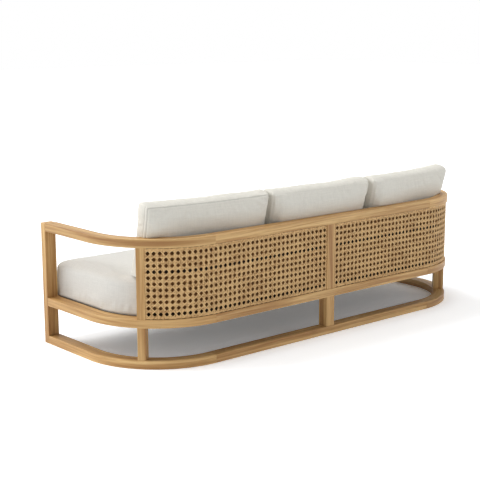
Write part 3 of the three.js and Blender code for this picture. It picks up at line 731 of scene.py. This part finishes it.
def cut_to_bend(bm, plan, reach, sign):
    """Cuts the back end of a slat along the bend, by planes that touch it"""
    steps = plan.steps // 2
    for step in range(steps + 1):
        turn = math.pi / 2 * step / steps
        outward = Vector((sign * math.sin(turn), math.cos(turn), 0))
        centre = Vector((sign * plan.bend_x, plan.bend_y, 0))
        geometry = [*bm.verts, *bm.edges, *bm.faces]
        cut = bmesh.ops.bisect_plane(
            bm, geom=geometry, dist=TINY, plane_co=centre + outward * reach, plane_no=outward,
            clear_outer=True)["geom_cut"]
        edges = of_kind(cut, bmesh.types.BMEdge)
        if edges:
            bmesh.ops.holes_fill(bm, edges=edges, sides=0)


class SOFA_OT_deck(bpy.types.Operator):
    """Ledgers, bearers and slats under the seat cushions"""

    bl_idname = "sofa.deck"
    bl_label = "Seat deck"

    def execute(self, context):
        sizes, deck = context.scene.sofa_frame, context.scene.sofa_deck
        plan = PlanLine(sizes)
        gap = sizes.joint_gap
        rounding = (deck.slat_ease, SMALL_STEPS, sizes.end_ease)
        ledger = node_ranges("front_ledger")
        insets = (sizes.rail_width + gap, sizes.rail_width + gap + deck.ledger_size)
        arm_end = plan.arm_place(ledger[1][1] + gap)
        darkened_finish = darkened_material("stained_deck", context.scene.sofa_finishes.deck_wood)
        for side in SIDES:
            bent = swept_bar(plan, (plan.bend_x + gap, arm_end), insets, ledger[2], *rounding)
            wooden_piece(on_side(bent, side), f"arm_ledger_{side}", plan.locate, darkened_finish)
        for node in ("back_ledger", "front_ledger"):
            wooden_piece(box_bar(node_ranges(node), 0, *rounding), node, axis_grain(0), darkened_finish)
        for place in ("left", "centre", "right"):
            node = f"seat_bearer_{place}"
            wooden_piece(box_bar(node_ranges(node), 1, *rounding), node, axis_grain(1), darkened_finish)
        reach = plan.radius - sizes.rail_width - deck.slat_end_gap
        for number in range(1, deck.slat_count + 1):
            node = f"seat_slat_{number}"
            ranges = node_ranges(node)
            slat = box_bar(ranges, 1, *rounding)
            far = max(ranges[0], key=abs)
            if abs(far) > plan.bend_x:
                cut_to_bend(slat, plan, reach, math.copysign(1, far))
            wooden_piece(slat, node, axis_grain(1), darkened_finish)
        return {"FINISHED"}


class SOFA_OT_boards(bpy.types.Operator):
    """Curved boards behind the cane, darkened partly as painted shade, with a thin near-black sheet
    on their backs that is painted shade in the gaps between them
    """

    bl_idname = "sofa.boards"
    bl_label = "Back boards"

    def execute(self, context):
        sizes, deck = context.scene.sofa_frame, context.scene.sofa_deck
        plan = PlanLine(sizes)
        insets = (deck.board_inset, deck.board_inset + deck.board_thickness)
        ends = (sizes.centre_post_width / 2, plan.post_edge)
        stretch = (ends[0] - deck.board_housing, ends[1] + deck.board_housing)
        # The boards' darker colour is partly painted shade behind the cane
        darkened_finish = darkened_material("stained_boards", context.scene.sofa_finishes.board_wood_and_shade)
        for level in ("lower", "upper"):
            for side in SIDES:
                node = f"{level}_back_board_{side}"
                board = swept_bar(
                    plan, stretch, insets, node_ranges(node)[2], deck.slat_ease, SMALL_STEPS,
                    sizes.end_ease)
                wooden_piece(on_side(board, side), node, plan.locate, darkened_finish)
        gap = sizes.joint_gap
        # The near-black sheet is painted shade: it stands for the dark hollow seen between the
        # boards
        sheet_inset = insets[1] + gap
        heights = (plan.seat_top + gap, sizes.top_rail_bottom - gap)
        for side in SIDES:
            sheet = swept_bar(
                plan, (ends[0] + gap, ends[1] - gap),
                (sheet_inset, sheet_inset + deck.backing_thickness), heights, gap, 1, gap)
            wooden_piece(on_side(sheet, side), f"back_sheet_{side}", plan.locate, dark_stain())
        return {"FINISHED"}


# Cane


# How far apart the strands lie in the noise that tones them, and how far a slanting strand rises
# and dips, in weave depths
STRAND_STEP = 0.37
DIAGONAL_LIFT = 1.8


class Weave:
    """Strands of cane, laid on a flat sheet of distance along the rails and height"""

    def __init__(self, cane):
        self.cane = cane
        self.bm = bmesh.new()
        self.layer = self.bm.verts.layers.float_vector.new("strand")
        self.number = 0

    def lay(self, points, across, width):
        """A ribbon through points of (along, height, depth), as wide as width"""
        cane = self.cane
        count = len(points)
        self.number += 1
        made = bmesh.ops.create_grid(self.bm, x_segments=count - 1, y_segments=2, size=1)["verts"]
        made.sort(key=lambda vertex: (round(vertex.co.x, 6), vertex.co.y))
        travelled = 0.0
        for index, (along, height, depth) in enumerate(points):
            if index:
                before = points[index - 1]
                travelled += math.hypot(along - before[0], height - before[1])
            for row, vertex in enumerate(made[3 * index:3 * index + 3]):
                offset = (row - 1) * width / 2
                crown = -cane.strand_crown if row == 1 else 0
                vertex.co = (along + across[0] * offset, height + across[1] * offset, depth + crown)
                vertex[self.layer] = (travelled, offset, self.number * STRAND_STEP)


def band_places(first_hole, pitch, count):
    """Middles of the bands between holes, with one at each end"""
    return [first_hole + pitch * (number - 0.5) for number in range(count + 1)]


def with_edge_bands(bands, spacing):
    """The bands with one more beside each end, where the cane goes into its groove"""
    return [bands[0] - 2 * spacing, *bands, bands[-1] + 2 * spacing]


def straight_strands(weave, bands, cross_bands, limits, upright):
    """Pairs of strands in one direction, woven through the pairs of the other"""
    cane = weave.cane
    half_pair = cane.pair_spacing / 2
    low, high = limits
    for number, band in enumerate(bands):
        for member in (-1, 1):
            place = band + member * half_pair
            stops = [(low, 0.0)]
            for cross_number, cross in enumerate(cross_bands):
                depth = cane.weave_depth * (-1) ** (number + cross_number + (member > 0))
                stops += [(cross - half_pair, -depth), (cross + half_pair, depth)]
                if cross_number + 1 < len(cross_bands):
                    stops.append(((cross + cross_bands[cross_number + 1]) / 2, 0.0))
            stops.append((high, 0.0))
            stops = [(position, depth) for position, depth in stops if low <= position <= high]
            if upright:
                points = [(place, position, depth) for position, depth in stops]
                weave.lay(points, (1, 0), cane.strand_width)
            else:
                points = [(position, place, -depth) for position, depth in stops]
                weave.lay(points, (0, 1), cane.strand_width)


def diagonal_strands(weave, columns, rows, s_limits, z_limits):
    """Strands at a slant, over the upright pairs and under the level ones, or the other way"""
    cane = weave.cane
    lift = cane.weave_depth * DIAGONAL_LIFT
    count = cane.rows + cane.columns
    for direction in (1, -1):
        across = Vector((-direction * cane.row_pitch, cane.column_pitch)).normalized()
        for number in range(-1, count + 1):
            points = []
            for half_step in range(-2 * count, 4 * count):
                # Even steps lie between two holes of a row, odd ones between two of a column
                along = columns[0] + cane.column_pitch * (number - cane.rows + half_step / 2)
                climb = (half_step / 2) * cane.row_pitch
                height = rows[0] + cane.row_pitch / 2 + climb if direction > 0 else (
                    rows[-1] - cane.row_pitch / 2 - climb)
                if s_limits[0] <= along <= s_limits[1] and z_limits[0] <= height <= z_limits[1]:
                    over_uprights = half_step % 2 == 0
                    depth = lift * direction * (-1 if over_uprights else 1)
                    points.append((along, height, depth))
            if len(points) > 1:
                weave.lay(points, tuple(across), cane.diagonal_width)


class SOFA_OT_cane(bpy.types.Operator):
    """Two curved panels of woven cane"""

    bl_idname = "sofa.cane"
    bl_label = "Cane panels"

    def execute(self, context):
        sizes, cane = context.scene.sofa_frame, context.scene.sofa_cane
        plan = PlanLine(sizes)
        low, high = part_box("cane_panel_left")
        s_limits = (low.x, plan.post_edge + cane.groove_depth)
        z_limits = (low.z, high.z)
        columns = band_places(cane.first_column, cane.column_pitch, cane.columns)
        lowest_row = cane.top_row - cane.row_pitch * (cane.rows - 1)
        rows = band_places(lowest_row, cane.row_pitch, cane.rows)
        level_bands = with_edge_bands(rows, cane.pair_spacing)
        for side in SIDES:
            weave = Weave(cane)
            straight_strands(weave, columns, level_bands, z_limits, upright=True)
            straight_strands(weave, level_bands, columns, s_limits, upright=False)
            diagonal_strands(weave, columns, rows, s_limits, z_limits)
            for vertex in weave.bm.verts:
                along, height, depth = vertex.co
                along = min(max(along, s_limits[0]), s_limits[1])
                height = min(max(height, z_limits[0]), z_limits[1])
                vertex.co = plan.place(along, cane.inset + depth, height)
            self.finish(on_side(weave.bm, side), side)
            self.add_splines(plan, side, (low.x + cane.spline_start, plan.post_edge))
        return {"FINISHED"}

    def add_splines(self, plan, side, stretch):
        """Strips that hold the cane in its groove along the rails"""
        scene = bpy.context.scene
        sizes, size = scene.sofa_frame, scene.sofa_cane.spline_size
        insets = (scene.sofa_cane.inset - size / 2, scene.sofa_cane.inset + size / 2)
        for name, low in (("lower", plan.seat_top), ("upper", sizes.top_rail_bottom - size)):
            strip = swept_bar(
                plan, stretch, insets, (low, low + size), size / 4, SMALL_STEPS, size / 8)
            wooden_piece(on_side(strip, side), f"{name}_spline_{side}", plan.locate, dark_stain())

    def finish(self, bm, side):
        cane = bpy.context.scene.sofa_cane
        node = f"cane_panel_{side}"
        panel = mesh_object(node + "_weave", bm, shared_material("woven_cane", build_cane))
        shell = panel.modifiers.new("Strand thickness", "SOLIDIFY")
        shell.thickness = cane.strand_thickness
        shell.offset = 0.0
        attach(panel, FRAME_BODY)
        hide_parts(node)


# Cushions


def applied(piece):
    """The mesh of an object with its modifiers applied"""
    graph = bpy.context.evaluated_depsgraph_get()
    return bpy.data.meshes.new_from_object(piece.evaluated_get(graph))


def swap_mesh(piece, mesh):
    piece.modifiers.clear()
    piece.data = mesh


def span_of(edge, axis):
    first, second = (vertex.co[axis] for vertex in edge.verts)
    return abs(first - second)


def cushion_block(half_sizes, spacing):
    """A closed box of even quads round the origin"""
    bm = bmesh.new()
    bmesh.ops.create_cube(bm, size=2)
    for axis, half in enumerate(half_sizes):
        along = [edge for edge in bm.edges if span_of(edge, axis) > TINY]
        bmesh.ops.subdivide_edges(bm, edges=along, cuts=max(1, round(2 * half / spacing)) - 1)
    bmesh.ops.scale(bm, vec=half_sizes, verts=bm.verts)
    return bm


def rounded_edge(inset, drop, radius):
    """Where a point near the edge of a box lies once the edge is round"""
    across, up = (max(0, 1 - distance / radius) for distance in (inset, drop))
    round_inset = radius * (1 - across * math.sqrt(1 - up * up / 2))
    round_drop = radius * (1 - up * math.sqrt(1 - across * across / 2))
    return (round_inset if across else inset), (round_drop if up else drop)


CROWN_POWER = 0.62


def crown_share(share):
    """How full a panel is at a share of the way in from its seam"""
    return (1 - (1 - min(max(share, 0), 1)) ** 2) ** CROWN_POWER


class CushionForm:
    """A box cushion: a rounded outline whose sides pull in, round edges and crowned panels"""

    def __init__(self, half_sizes, corner_radii, edge_radii, crowns, reach, draw_in, swell):
        self.half_sizes = half_sizes
        self.corner_radii = corner_radii
        self.edge_radii = edge_radii
        self.crowns = crowns
        self.reach = reach
        self.draw_in = draw_in
        self.swell = swell

    def shaped(self, point):
        """Where a point of the plain box lies on the cushion"""
        half = self.half_sizes[2]
        panel = 0 if point.z > 0 else 1
        start = min(self.half_sizes[axis] - abs(point[axis]) for axis in (0, 1))
        inset, drop = rounded_edge(start, half - abs(point.z), self.edge_radii[panel])
        rise = self.crowns[panel] * crown_share(inset / self.reach)
        inset -= self.swell * (1 - (point.z / half) ** 2)
        across, up = self.on_ring(point, start, inset)
        return Vector((across, up, math.copysign(half - drop + rise, point.z)))

    def on_ring(self, point, start, inset):
        """Takes a point of one ring round the middle to another, which follows the outline"""
        begin = [half - start for half in self.half_sizes[:2]]
        goal = [half - inset for half in self.half_sizes[:2]]
        sides = tuple(math.copysign(1, value) for value in point.xy)
        radius = min(max(self.corner_radii[sides] - inset, inset / 2), *goal)
        first = 0 if begin[0] - abs(point.x) <= begin[1] - abs(point.y) else 1
        other = 1 - first
        stretch = radius * begin[other] / max(goal[other], TINY)
        from_corner = begin[other] - abs(point[other])
        place = [0, 0]
        if from_corner < stretch:
            turn = math.pi / 4 * (1 - from_corner / stretch)
            place[first] = goal[first] - radius * (1 - math.cos(turn))
            place[other] = goal[other] - radius * (1 - math.sin(turn))
        else:
            share = abs(point[other]) / max(begin[other] - stretch, TINY)
            reach = abs(point[first]) / self.half_sizes[first]
            place[first] = goal[first] - self.draw_in * math.cos(math.pi / 2 * share) * reach
            place[other] = share * (goal[other] - radius)
        return [side * value for side, value in zip(sides, place)]


# A light, fairly stiff cover, which only the pressure inside moves
COVER = {
    "quality": 5, "mass": 0.4, "tension_stiffness": 12, "compression_stiffness": 12,
    "shear_stiffness": 5, "bending_stiffness": 0.6, "use_pressure": True}


def fill_cushion(piece, cushions, held_points):
    """Blows the cover up like a filled cushion whose seams stay where they are"""
    held = piece.vertex_groups.new(name="seams")
    held.add(held_points, 1.0, "REPLACE")
    rest = [vertex.co.copy() for vertex in piece.data.vertices]
    cloth = piece.modifiers.new("Filling", "CLOTH")
    settings = cloth.settings
    for key, value in COVER.items():
        setattr(settings, key, value)
    settings.uniform_pressure_force = cushions.pressure
    settings.effector_weights.gravity = 0
    settings.vertex_group_mass = held.name
    settings.shrink_min = -cushions.slack
    cloth.collision_settings.use_collision = False
    cloth.point_cache.frame_start = 1
    cloth.point_cache.frame_end = cushions.frames
    scene = bpy.context.scene
    for frame_number in range(1, cushions.frames + 1):
        scene.frame_set(frame_number)
    filled = applied(piece)
    scene.frame_set(1)
    swap_mesh(piece, filled)
    piece.vertex_groups.clear()
    for vertex, start in zip(filled.vertices, rest):
        moved = vertex.co - start
        if moved.length > cushions.most_swell:
            vertex.co = start + moved * (cushions.most_swell / moved.length)


def sew_seams(mesh, cushions, share):
    """Makes a narrow groove of each edge that is marked as a seam, as deep as this share, and
    stores painted shade for the groove in the seam attribute, as strong as this share
    """
    bm = bmesh.new()
    bm.from_mesh(mesh)
    # Painted shade: how dark the cloth is painted inside each seam's groove
    depth = bm.verts.layers.float.new("seam")
    seams = [edge for edge in bm.edges if edge.seam]
    made = bevel(bm, seams, cushions.seam_reach, 2)
    strip = set(made["faces"])
    bm.normal_update()
    for vertex in made["verts"]:
        if strip.issuperset(vertex.link_faces):
            vertex.co -= vertex.normal * cushions.seam_depth * share
            vertex[depth] = share
    for edge in bm.edges:
        edge.seam = False
    bm.to_mesh(mesh)
    bm.free()


def settle_cloth(mesh, cushions, keep_clear, seed):
    """Adds the slow unevenness of a filling and keeps the cover off its neighbours"""
    shift = Vector((seed, seed * 0.7, seed * 0.3))
    normals = [Vector(normal.vector) for normal in mesh.vertex_normals]
    for vertex, normal in zip(mesh.vertices, normals):
        slow = noise.noise(vertex.co * cushions.lump_rate + shift) * cushions.lump_height
        fine = noise.noise(vertex.co * cushions.ripple_rate + shift) * cushions.ripple_height
        vertex.co = keep_clear(vertex.co + normal * (slow + fine))


def add_cloth_map(mesh, to_local):
    """A map in metres on the cushion's own axes, chosen by where each face looks"""
    layer = mesh.uv_layers.new(name="cloth")
    places = [to_local @ vertex.co for vertex in mesh.vertices]
    turn = to_local.to_3x3()
    for polygon in mesh.polygons:
        facing = turn @ polygon.normal
        largest = max(range(3), key=lambda axis: abs(facing[axis]))
        u, v = [axis for axis in range(3) if axis != largest]
        for loop in polygon.loop_indices:
            place = places[mesh.loops[loop].vertex_index]
            layer.data[loop].uv = (place[u], place[v])


def make_cushion(
        node, form, spacing, to_world, is_seam, keep_clear, material, seed,
        seam_share=1.0):
    """A filled cover with sewn seams, in place of a CAD cushion"""
    cushions = bpy.context.scene.sofa_cushions
    bm = cushion_block(form.half_sizes, spacing)
    plain = [vertex.co.copy() for vertex in bm.verts]
    for edge in bm.edges:
        edge.seam = is_seam(edge.verts[0].co, edge.verts[1].co)
    held_points = [
        vertex.index for vertex in bm.verts if any(edge.seam for edge in vertex.link_edges)]
    for vertex, point in zip(bm.verts, plain):
        vertex.co = keep_clear(to_world @ form.shaped(point))
    piece = mesh_object(node + "_cover", bm, material)
    fill_cushion(piece, cushions, held_points)
    sew_seams(piece.data, cushions, seam_share)
    finer = piece.modifiers.new("Finer cover", "SUBSURF")
    finer.levels = finer.render_levels = 1
    swap_mesh(piece, applied(piece))
    settle_cloth(piece.data, cushions, keep_clear, seed)
    add_cloth_map(piece.data, to_world.inverted())
    piece.data.shade_smooth()
    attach(piece, node)
    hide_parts(node)


def same_corners(radius):
    return {(x, y): radius for x in (-1.0, 1.0) for y in (-1.0, 1.0)}


# Where the unevenness of each group of cushions starts
BACK_SEED = 1
SEAT_SEED = 11

# Place across and back, turn in degrees, how much longer than the others, radius of the edges at
# the seams, and depth of the seams, with the strength of their painted shade, as a share of the
# full depth
BACK_PLACES = {
    "back_cushion_left": (0.6738, 0.190, -4.5, 0.007, 0.003, 0.9),
    "back_cushion_middle": (0.0, 0.223, 0.9, 0.0, 0.011, 0.4),
    "back_cushion_right": (-0.6713, 0.204, 6.7, 0.0, 0.010, 0.3),
}


class SOFA_OT_back_cushions(bpy.types.Operator):
    """Three back cushions that lean on the top rail"""

    bl_idname = "sofa.back_cushions"
    bl_label = "Back cushions"

    def execute(self, context):
        cushions, sizes = context.scene.sofa_cushions, context.scene.sofa_frame
        plan = PlanLine(sizes)
        shade = context.scene.sofa_finishes.back_cloth
        material = shared_material("back_cloth", build_cloth, shade)
        rail_inset = sizes.rail_width + cushions.rest_gap
        rail_top = plan.arm_top + cushions.rest_gap
        seat_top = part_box("seat_cushion_middle")[1].z
        lowest = seat_top + cushions.rest_gap
        half_height, half_gusset = cushions.back_height / 2, cushions.back_gusset / 2
        step = cushions.back_gusset / round(cushions.back_gusset / cushions.back_spacing)
        side_row = round(cushions.side_seam / step) * step - half_gusset

        def keep_clear(point):
            """Inside the rail or on top of it, whichever is nearer, and on the seat"""
            s, inset, height = plan.locate(point)
            if height < rail_top and inset < rail_inset:
                if rail_top - height < rail_inset - inset:
                    point.z = rail_top
                else:
                    moved = plan.place(abs(s), rail_inset, height)
                    point = Vector((math.copysign(moved.x, s), moved.y, height))
            point.z = max(point.z, lowest)
            return point

        upright = Matrix.Translation((0, 0, half_height)) @ Matrix.Rotation(math.pi / 2, 4, "X")
        for number, (node, place) in enumerate(BACK_PLACES.items()):
            across, back, turn, longer, edge, seam_share = place
            half_sizes = ((cushions.back_length + longer) / 2, half_height, half_gusset)
            form = CushionForm(
                half_sizes, same_corners(cushions.back_corner), (edge, edge),
                (cushions.back_crown, cushions.back_crown), cushions.crown_reach,
                cushions.back_draw_in, cushions.gusset_swell)

            def is_seam(first, second, half_sizes=half_sizes):
                """Round both panels, and up the sides near the back panel"""
                level = abs(first.z - second.z) < TINY
                across, up = (
                    all(abs(abs(point[axis]) - half) < TINY for point in (first, second))
                    for axis, half in enumerate(half_sizes[:2]))
                round_panel = abs(abs(first.z) - half_gusset) < TINY and (across or up)
                return level and (round_panel or across and abs(first.z - side_row) < TINY)

            to_world = (
                Matrix.Translation((across, back, seat_top - cushions.back_sink))
                @ Matrix.Rotation(math.radians(turn), 4, "Z")
                @ Matrix.Rotation(-cushions.back_lean, 4, "X") @ upright)
            make_cushion(
                node, form, cushions.back_spacing, to_world, is_seam, keep_clear, material,
                BACK_SEED + number, seam_share)
        return {"FINISHED"}


class SOFA_OT_seat_cushions(bpy.types.Operator):
    """Three seat cushions on the deck"""

    bl_idname = "sofa.seat_cushions"
    bl_label = "Seat cushions"

    def execute(self, context):
        cushions, sizes = context.scene.sofa_cushions, context.scene.sofa_frame
        shade = context.scene.sofa_finishes.seat_cloth
        material = shared_material("seat_cloth", build_cloth, shade)
        for number, place in enumerate(("left", "middle", "right")):
            node = f"seat_cushion_{place}"
            low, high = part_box(node)
            if place == "left":
                high.x += cushions.arm_reach
            elif place == "right":
                low.x -= cushions.arm_reach
            middle = (low + high) / 2
            middle.z = low.z + cushions.seat_wall / 2
            half_sizes = ((high.x - low.x) / 2, (high.y - low.y) / 2, cushions.seat_wall / 2)
            corners = same_corners(cushions.seat_corner)
            if place in SIDES:
                bend_start = sizes.sofa_depth / 2 - sizes.corner_radius
                corners[float(SIDES[place]), 1.0] = high.y - bend_start
            crown = high.z - low.z - cushions.seat_wall + cushions.extra_crown
            form = CushionForm(
                half_sizes, corners, (cushions.seat_edge, cushions.seat_foot), (crown, 0),
                cushions.crown_reach + cushions.seat_edge, cushions.seat_draw_in,
                cushions.seat_swell)
            swell = [cushions.seat_swell * (SIDES.get(place, 0) == sign) for sign in (-1, 1)]

            def is_seam(first, second, half_sizes=half_sizes):
                """Round the bottom"""
                outer = all(
                    any(abs(point[axis]) > half_sizes[axis] - TINY for axis in (0, 1))
                    for point in (first, second))
                return outer and max(first.z, second.z) < TINY - half_sizes[2]

            def keep_clear(point, low=low, high=high, swell=swell):
                """Inside the CAD cushion's box, but for its swell and its extra crown"""
                point.x = min(max(point.x, low.x - swell[0]), high.x + swell[1])
                point.y = min(max(point.y, low.y), high.y)
                spare = min(max((cushions.extra_end - point.y) / cushions.extra_fade, 0), 1)
                top = high.z + cushions.extra_crown * spare * spare * (3 - 2 * spare)
                point.z = min(max(point.z, low.z), top)
                return point

            make_cushion(
                node, form, cushions.seat_spacing, Matrix.Translation(middle), is_seam, keep_clear,
                material, SEAT_SEED + number)
        return {"FINISHED"}


# Stage


WHITE = (1, 1, 1, 1)
SENSOR_WIDTH = 36.0
FARTHEST = 100.0


class SOFA_OT_stage(bpy.types.Operator):
    """Camera, floor, lamps and white surroundings"""

    bl_idname = "sofa.stage"
    bl_label = "Stage"

    def execute(self, context):
        stage = context.scene.sofa_stage
        context.scene.view_settings.view_transform = "Standard"
        self.add_camera(context, stage)
        self.add_floor(stage)
        self.add_world(context, stage)
        low, wide = stage.low_height, stage.wide
        self.add_sun("top_light", stage.top_sun, 0, math.pi / 2, stage.top_width)
        self.add_sun("front_light", stage.front_sun, stage.front_heading, stage.front_height, wide)
        self.add_sun("side_light", stage.side_sun, stage.side_heading, low, wide)
        self.add_sun("back_light", stage.back_sun, stage.back_heading, low, wide)
        return {"FINISHED"}

    def add_camera(self, context, stage):
        lens = bpy.data.cameras.new("photo_camera")
        lens.lens = stage.camera_lens
        lens.sensor_width = SENSOR_WIDTH
        lens.clip_end = FARTHEST
        camera = new_object("photo_camera", lens)
        dip, heading = stage.camera_dip, stage.camera_heading
        forward = Vector((
            math.cos(dip) * math.cos(heading), math.cos(dip) * math.sin(heading), -math.sin(dip)))
        level = forward.cross(Vector((0, 0, 1))).normalized()
        upright = level.cross(forward)
        roll = stage.camera_roll
        right = level * math.cos(roll) + upright * math.sin(roll)
        up = right.cross(forward)
        turn = Matrix((right, up, -forward)).transposed().to_4x4()
        camera.matrix_world = Matrix.Translation(stage.camera_place) @ turn
        context.scene.camera = camera

    def add_floor(self, stage):
        bm = bmesh.new()
        bmesh.ops.create_grid(bm, x_segments=1, y_segments=1, size=stage.floor_size / 2)
        floor = mesh_object("floor", bm, shared_material("pale_floor", self.build_floor, stage))

    def build_floor(self, tree, stage):
        """A pale floor that takes shadows and is white where the light reaches it"""
        paler = tone(stage.floor_colour, stage.floor_gain)
        seen = mix_colours(
            tree, self.seen_share(tree, 1.0), opaque(stage.floor_colour), opaque(paler))
        matte = add_node(tree, "ShaderNodeBsdfDiffuse", {"Color": seen})
        glow = add_node(tree, "ShaderNodeEmission", {
            "Color": WHITE, "Strength": self.seen_share(tree, stage.floor_glow)})
        both = add_node(tree, "ShaderNodeAddShader", {0: matte.outputs[0], 1: glow.outputs[0]})
        output = add_node(tree, "ShaderNodeOutputMaterial")
        tree.links.new(both.outputs[0], output.inputs["Surface"])

    def seen_share(self, tree, strength):
        """A strength for rays that reach the picture straight, in gloss or through glass"""
        path = add_node(tree, "ShaderNodeLightPath")
        seen = maths(tree, "MAXIMUM", path.outputs["Is Camera Ray"], path.outputs["Is Glossy Ray"])
        seen = maths(tree, "MAXIMUM", seen, path.outputs["Is Transmission Ray"])
        return maths(tree, "MULTIPLY", seen, strength)

    def add_world(self, context, stage):
        world = bpy.data.worlds.new("studio")
        context.scene.world = world
        world.use_nodes = True
        tree = world.node_tree
        tree.nodes.clear()
        seen = self.seen_share(tree, 1.0)
        strength = add_node(tree, "ShaderNodeMix", {0: seen, 2: stage.ambient, 3: 1.0}).outputs[0]
        back = add_node(tree, "ShaderNodeBackground", {"Color": WHITE, "Strength": strength})
        output = add_node(tree, "ShaderNodeOutputWorld")
        tree.links.new(back.outputs[0], output.inputs["Surface"])

    def add_sun(self, name, power, heading, height, width):
        """A wide soft light that is even all over the floor"""
        light = bpy.data.lights.new(name, "SUN")
        light.energy = power
        light.angle = width
        lamp = new_object(name, light)
        level = math.cos(height)
        source = Vector((level * math.cos(heading), level * math.sin(heading), math.sin(height)))
        lamp.rotation_euler = (-source).to_track_quat("-Z", "Y").to_euler()


class SOFA_PT_panel(bpy.types.Panel):
    """Buttons for the pieces of the sofa"""

    bl_idname = "SOFA_PT_panel"
    bl_label = "Garden sofa"
    bl_space_type = "VIEW_3D"
    bl_region_type = "UI"
    bl_category = "Sofa"

    def draw(self, context):
        for operator in OPERATORS:
            self.layout.operator(operator.bl_idname)
        for name in PROPERTY_GROUPS:
            group = getattr(context.scene, name)
            box = self.layout.box()
            for key in group.__annotations__:
                box.prop(group, key)


PROPERTY_GROUPS = {
    "sofa_frame": SofaFrameSizes,
    "sofa_deck": SofaDeckSizes,
    "sofa_cane": SofaCaneSizes,
    "sofa_cushions": SofaCushionSizes,
    "sofa_finishes": SofaFinishes,
    "sofa_stage": SofaStageSizes,
}
OPERATORS = (
    SOFA_OT_stage,
    SOFA_OT_rails,
    SOFA_OT_posts,
    SOFA_OT_front,
    SOFA_OT_deck,
    SOFA_OT_boards,
    SOFA_OT_cane,
    SOFA_OT_seat_cushions,
    SOFA_OT_back_cushions,
)


def register():
    for group in (*PROPERTY_GROUPS.values(), *OPERATORS, SOFA_PT_panel):
        bpy.utils.register_class(group)
    for name, group in PROPERTY_GROUPS.items():
        setattr(bpy.types.Scene, name, PointerProperty(type=group))


def unregister():
    for name in PROPERTY_GROUPS:
        delattr(bpy.types.Scene, name)
    for group in (SOFA_PT_panel, *reversed(OPERATORS), *PROPERTY_GROUPS.values()):
        bpy.utils.unregister_class(group)


def main():
    register()
    for operator in OPERATORS:
        group, name = operator.bl_idname.split(".")
        getattr(getattr(bpy.ops, group), name)()


if __name__ == "__main__":
    main()
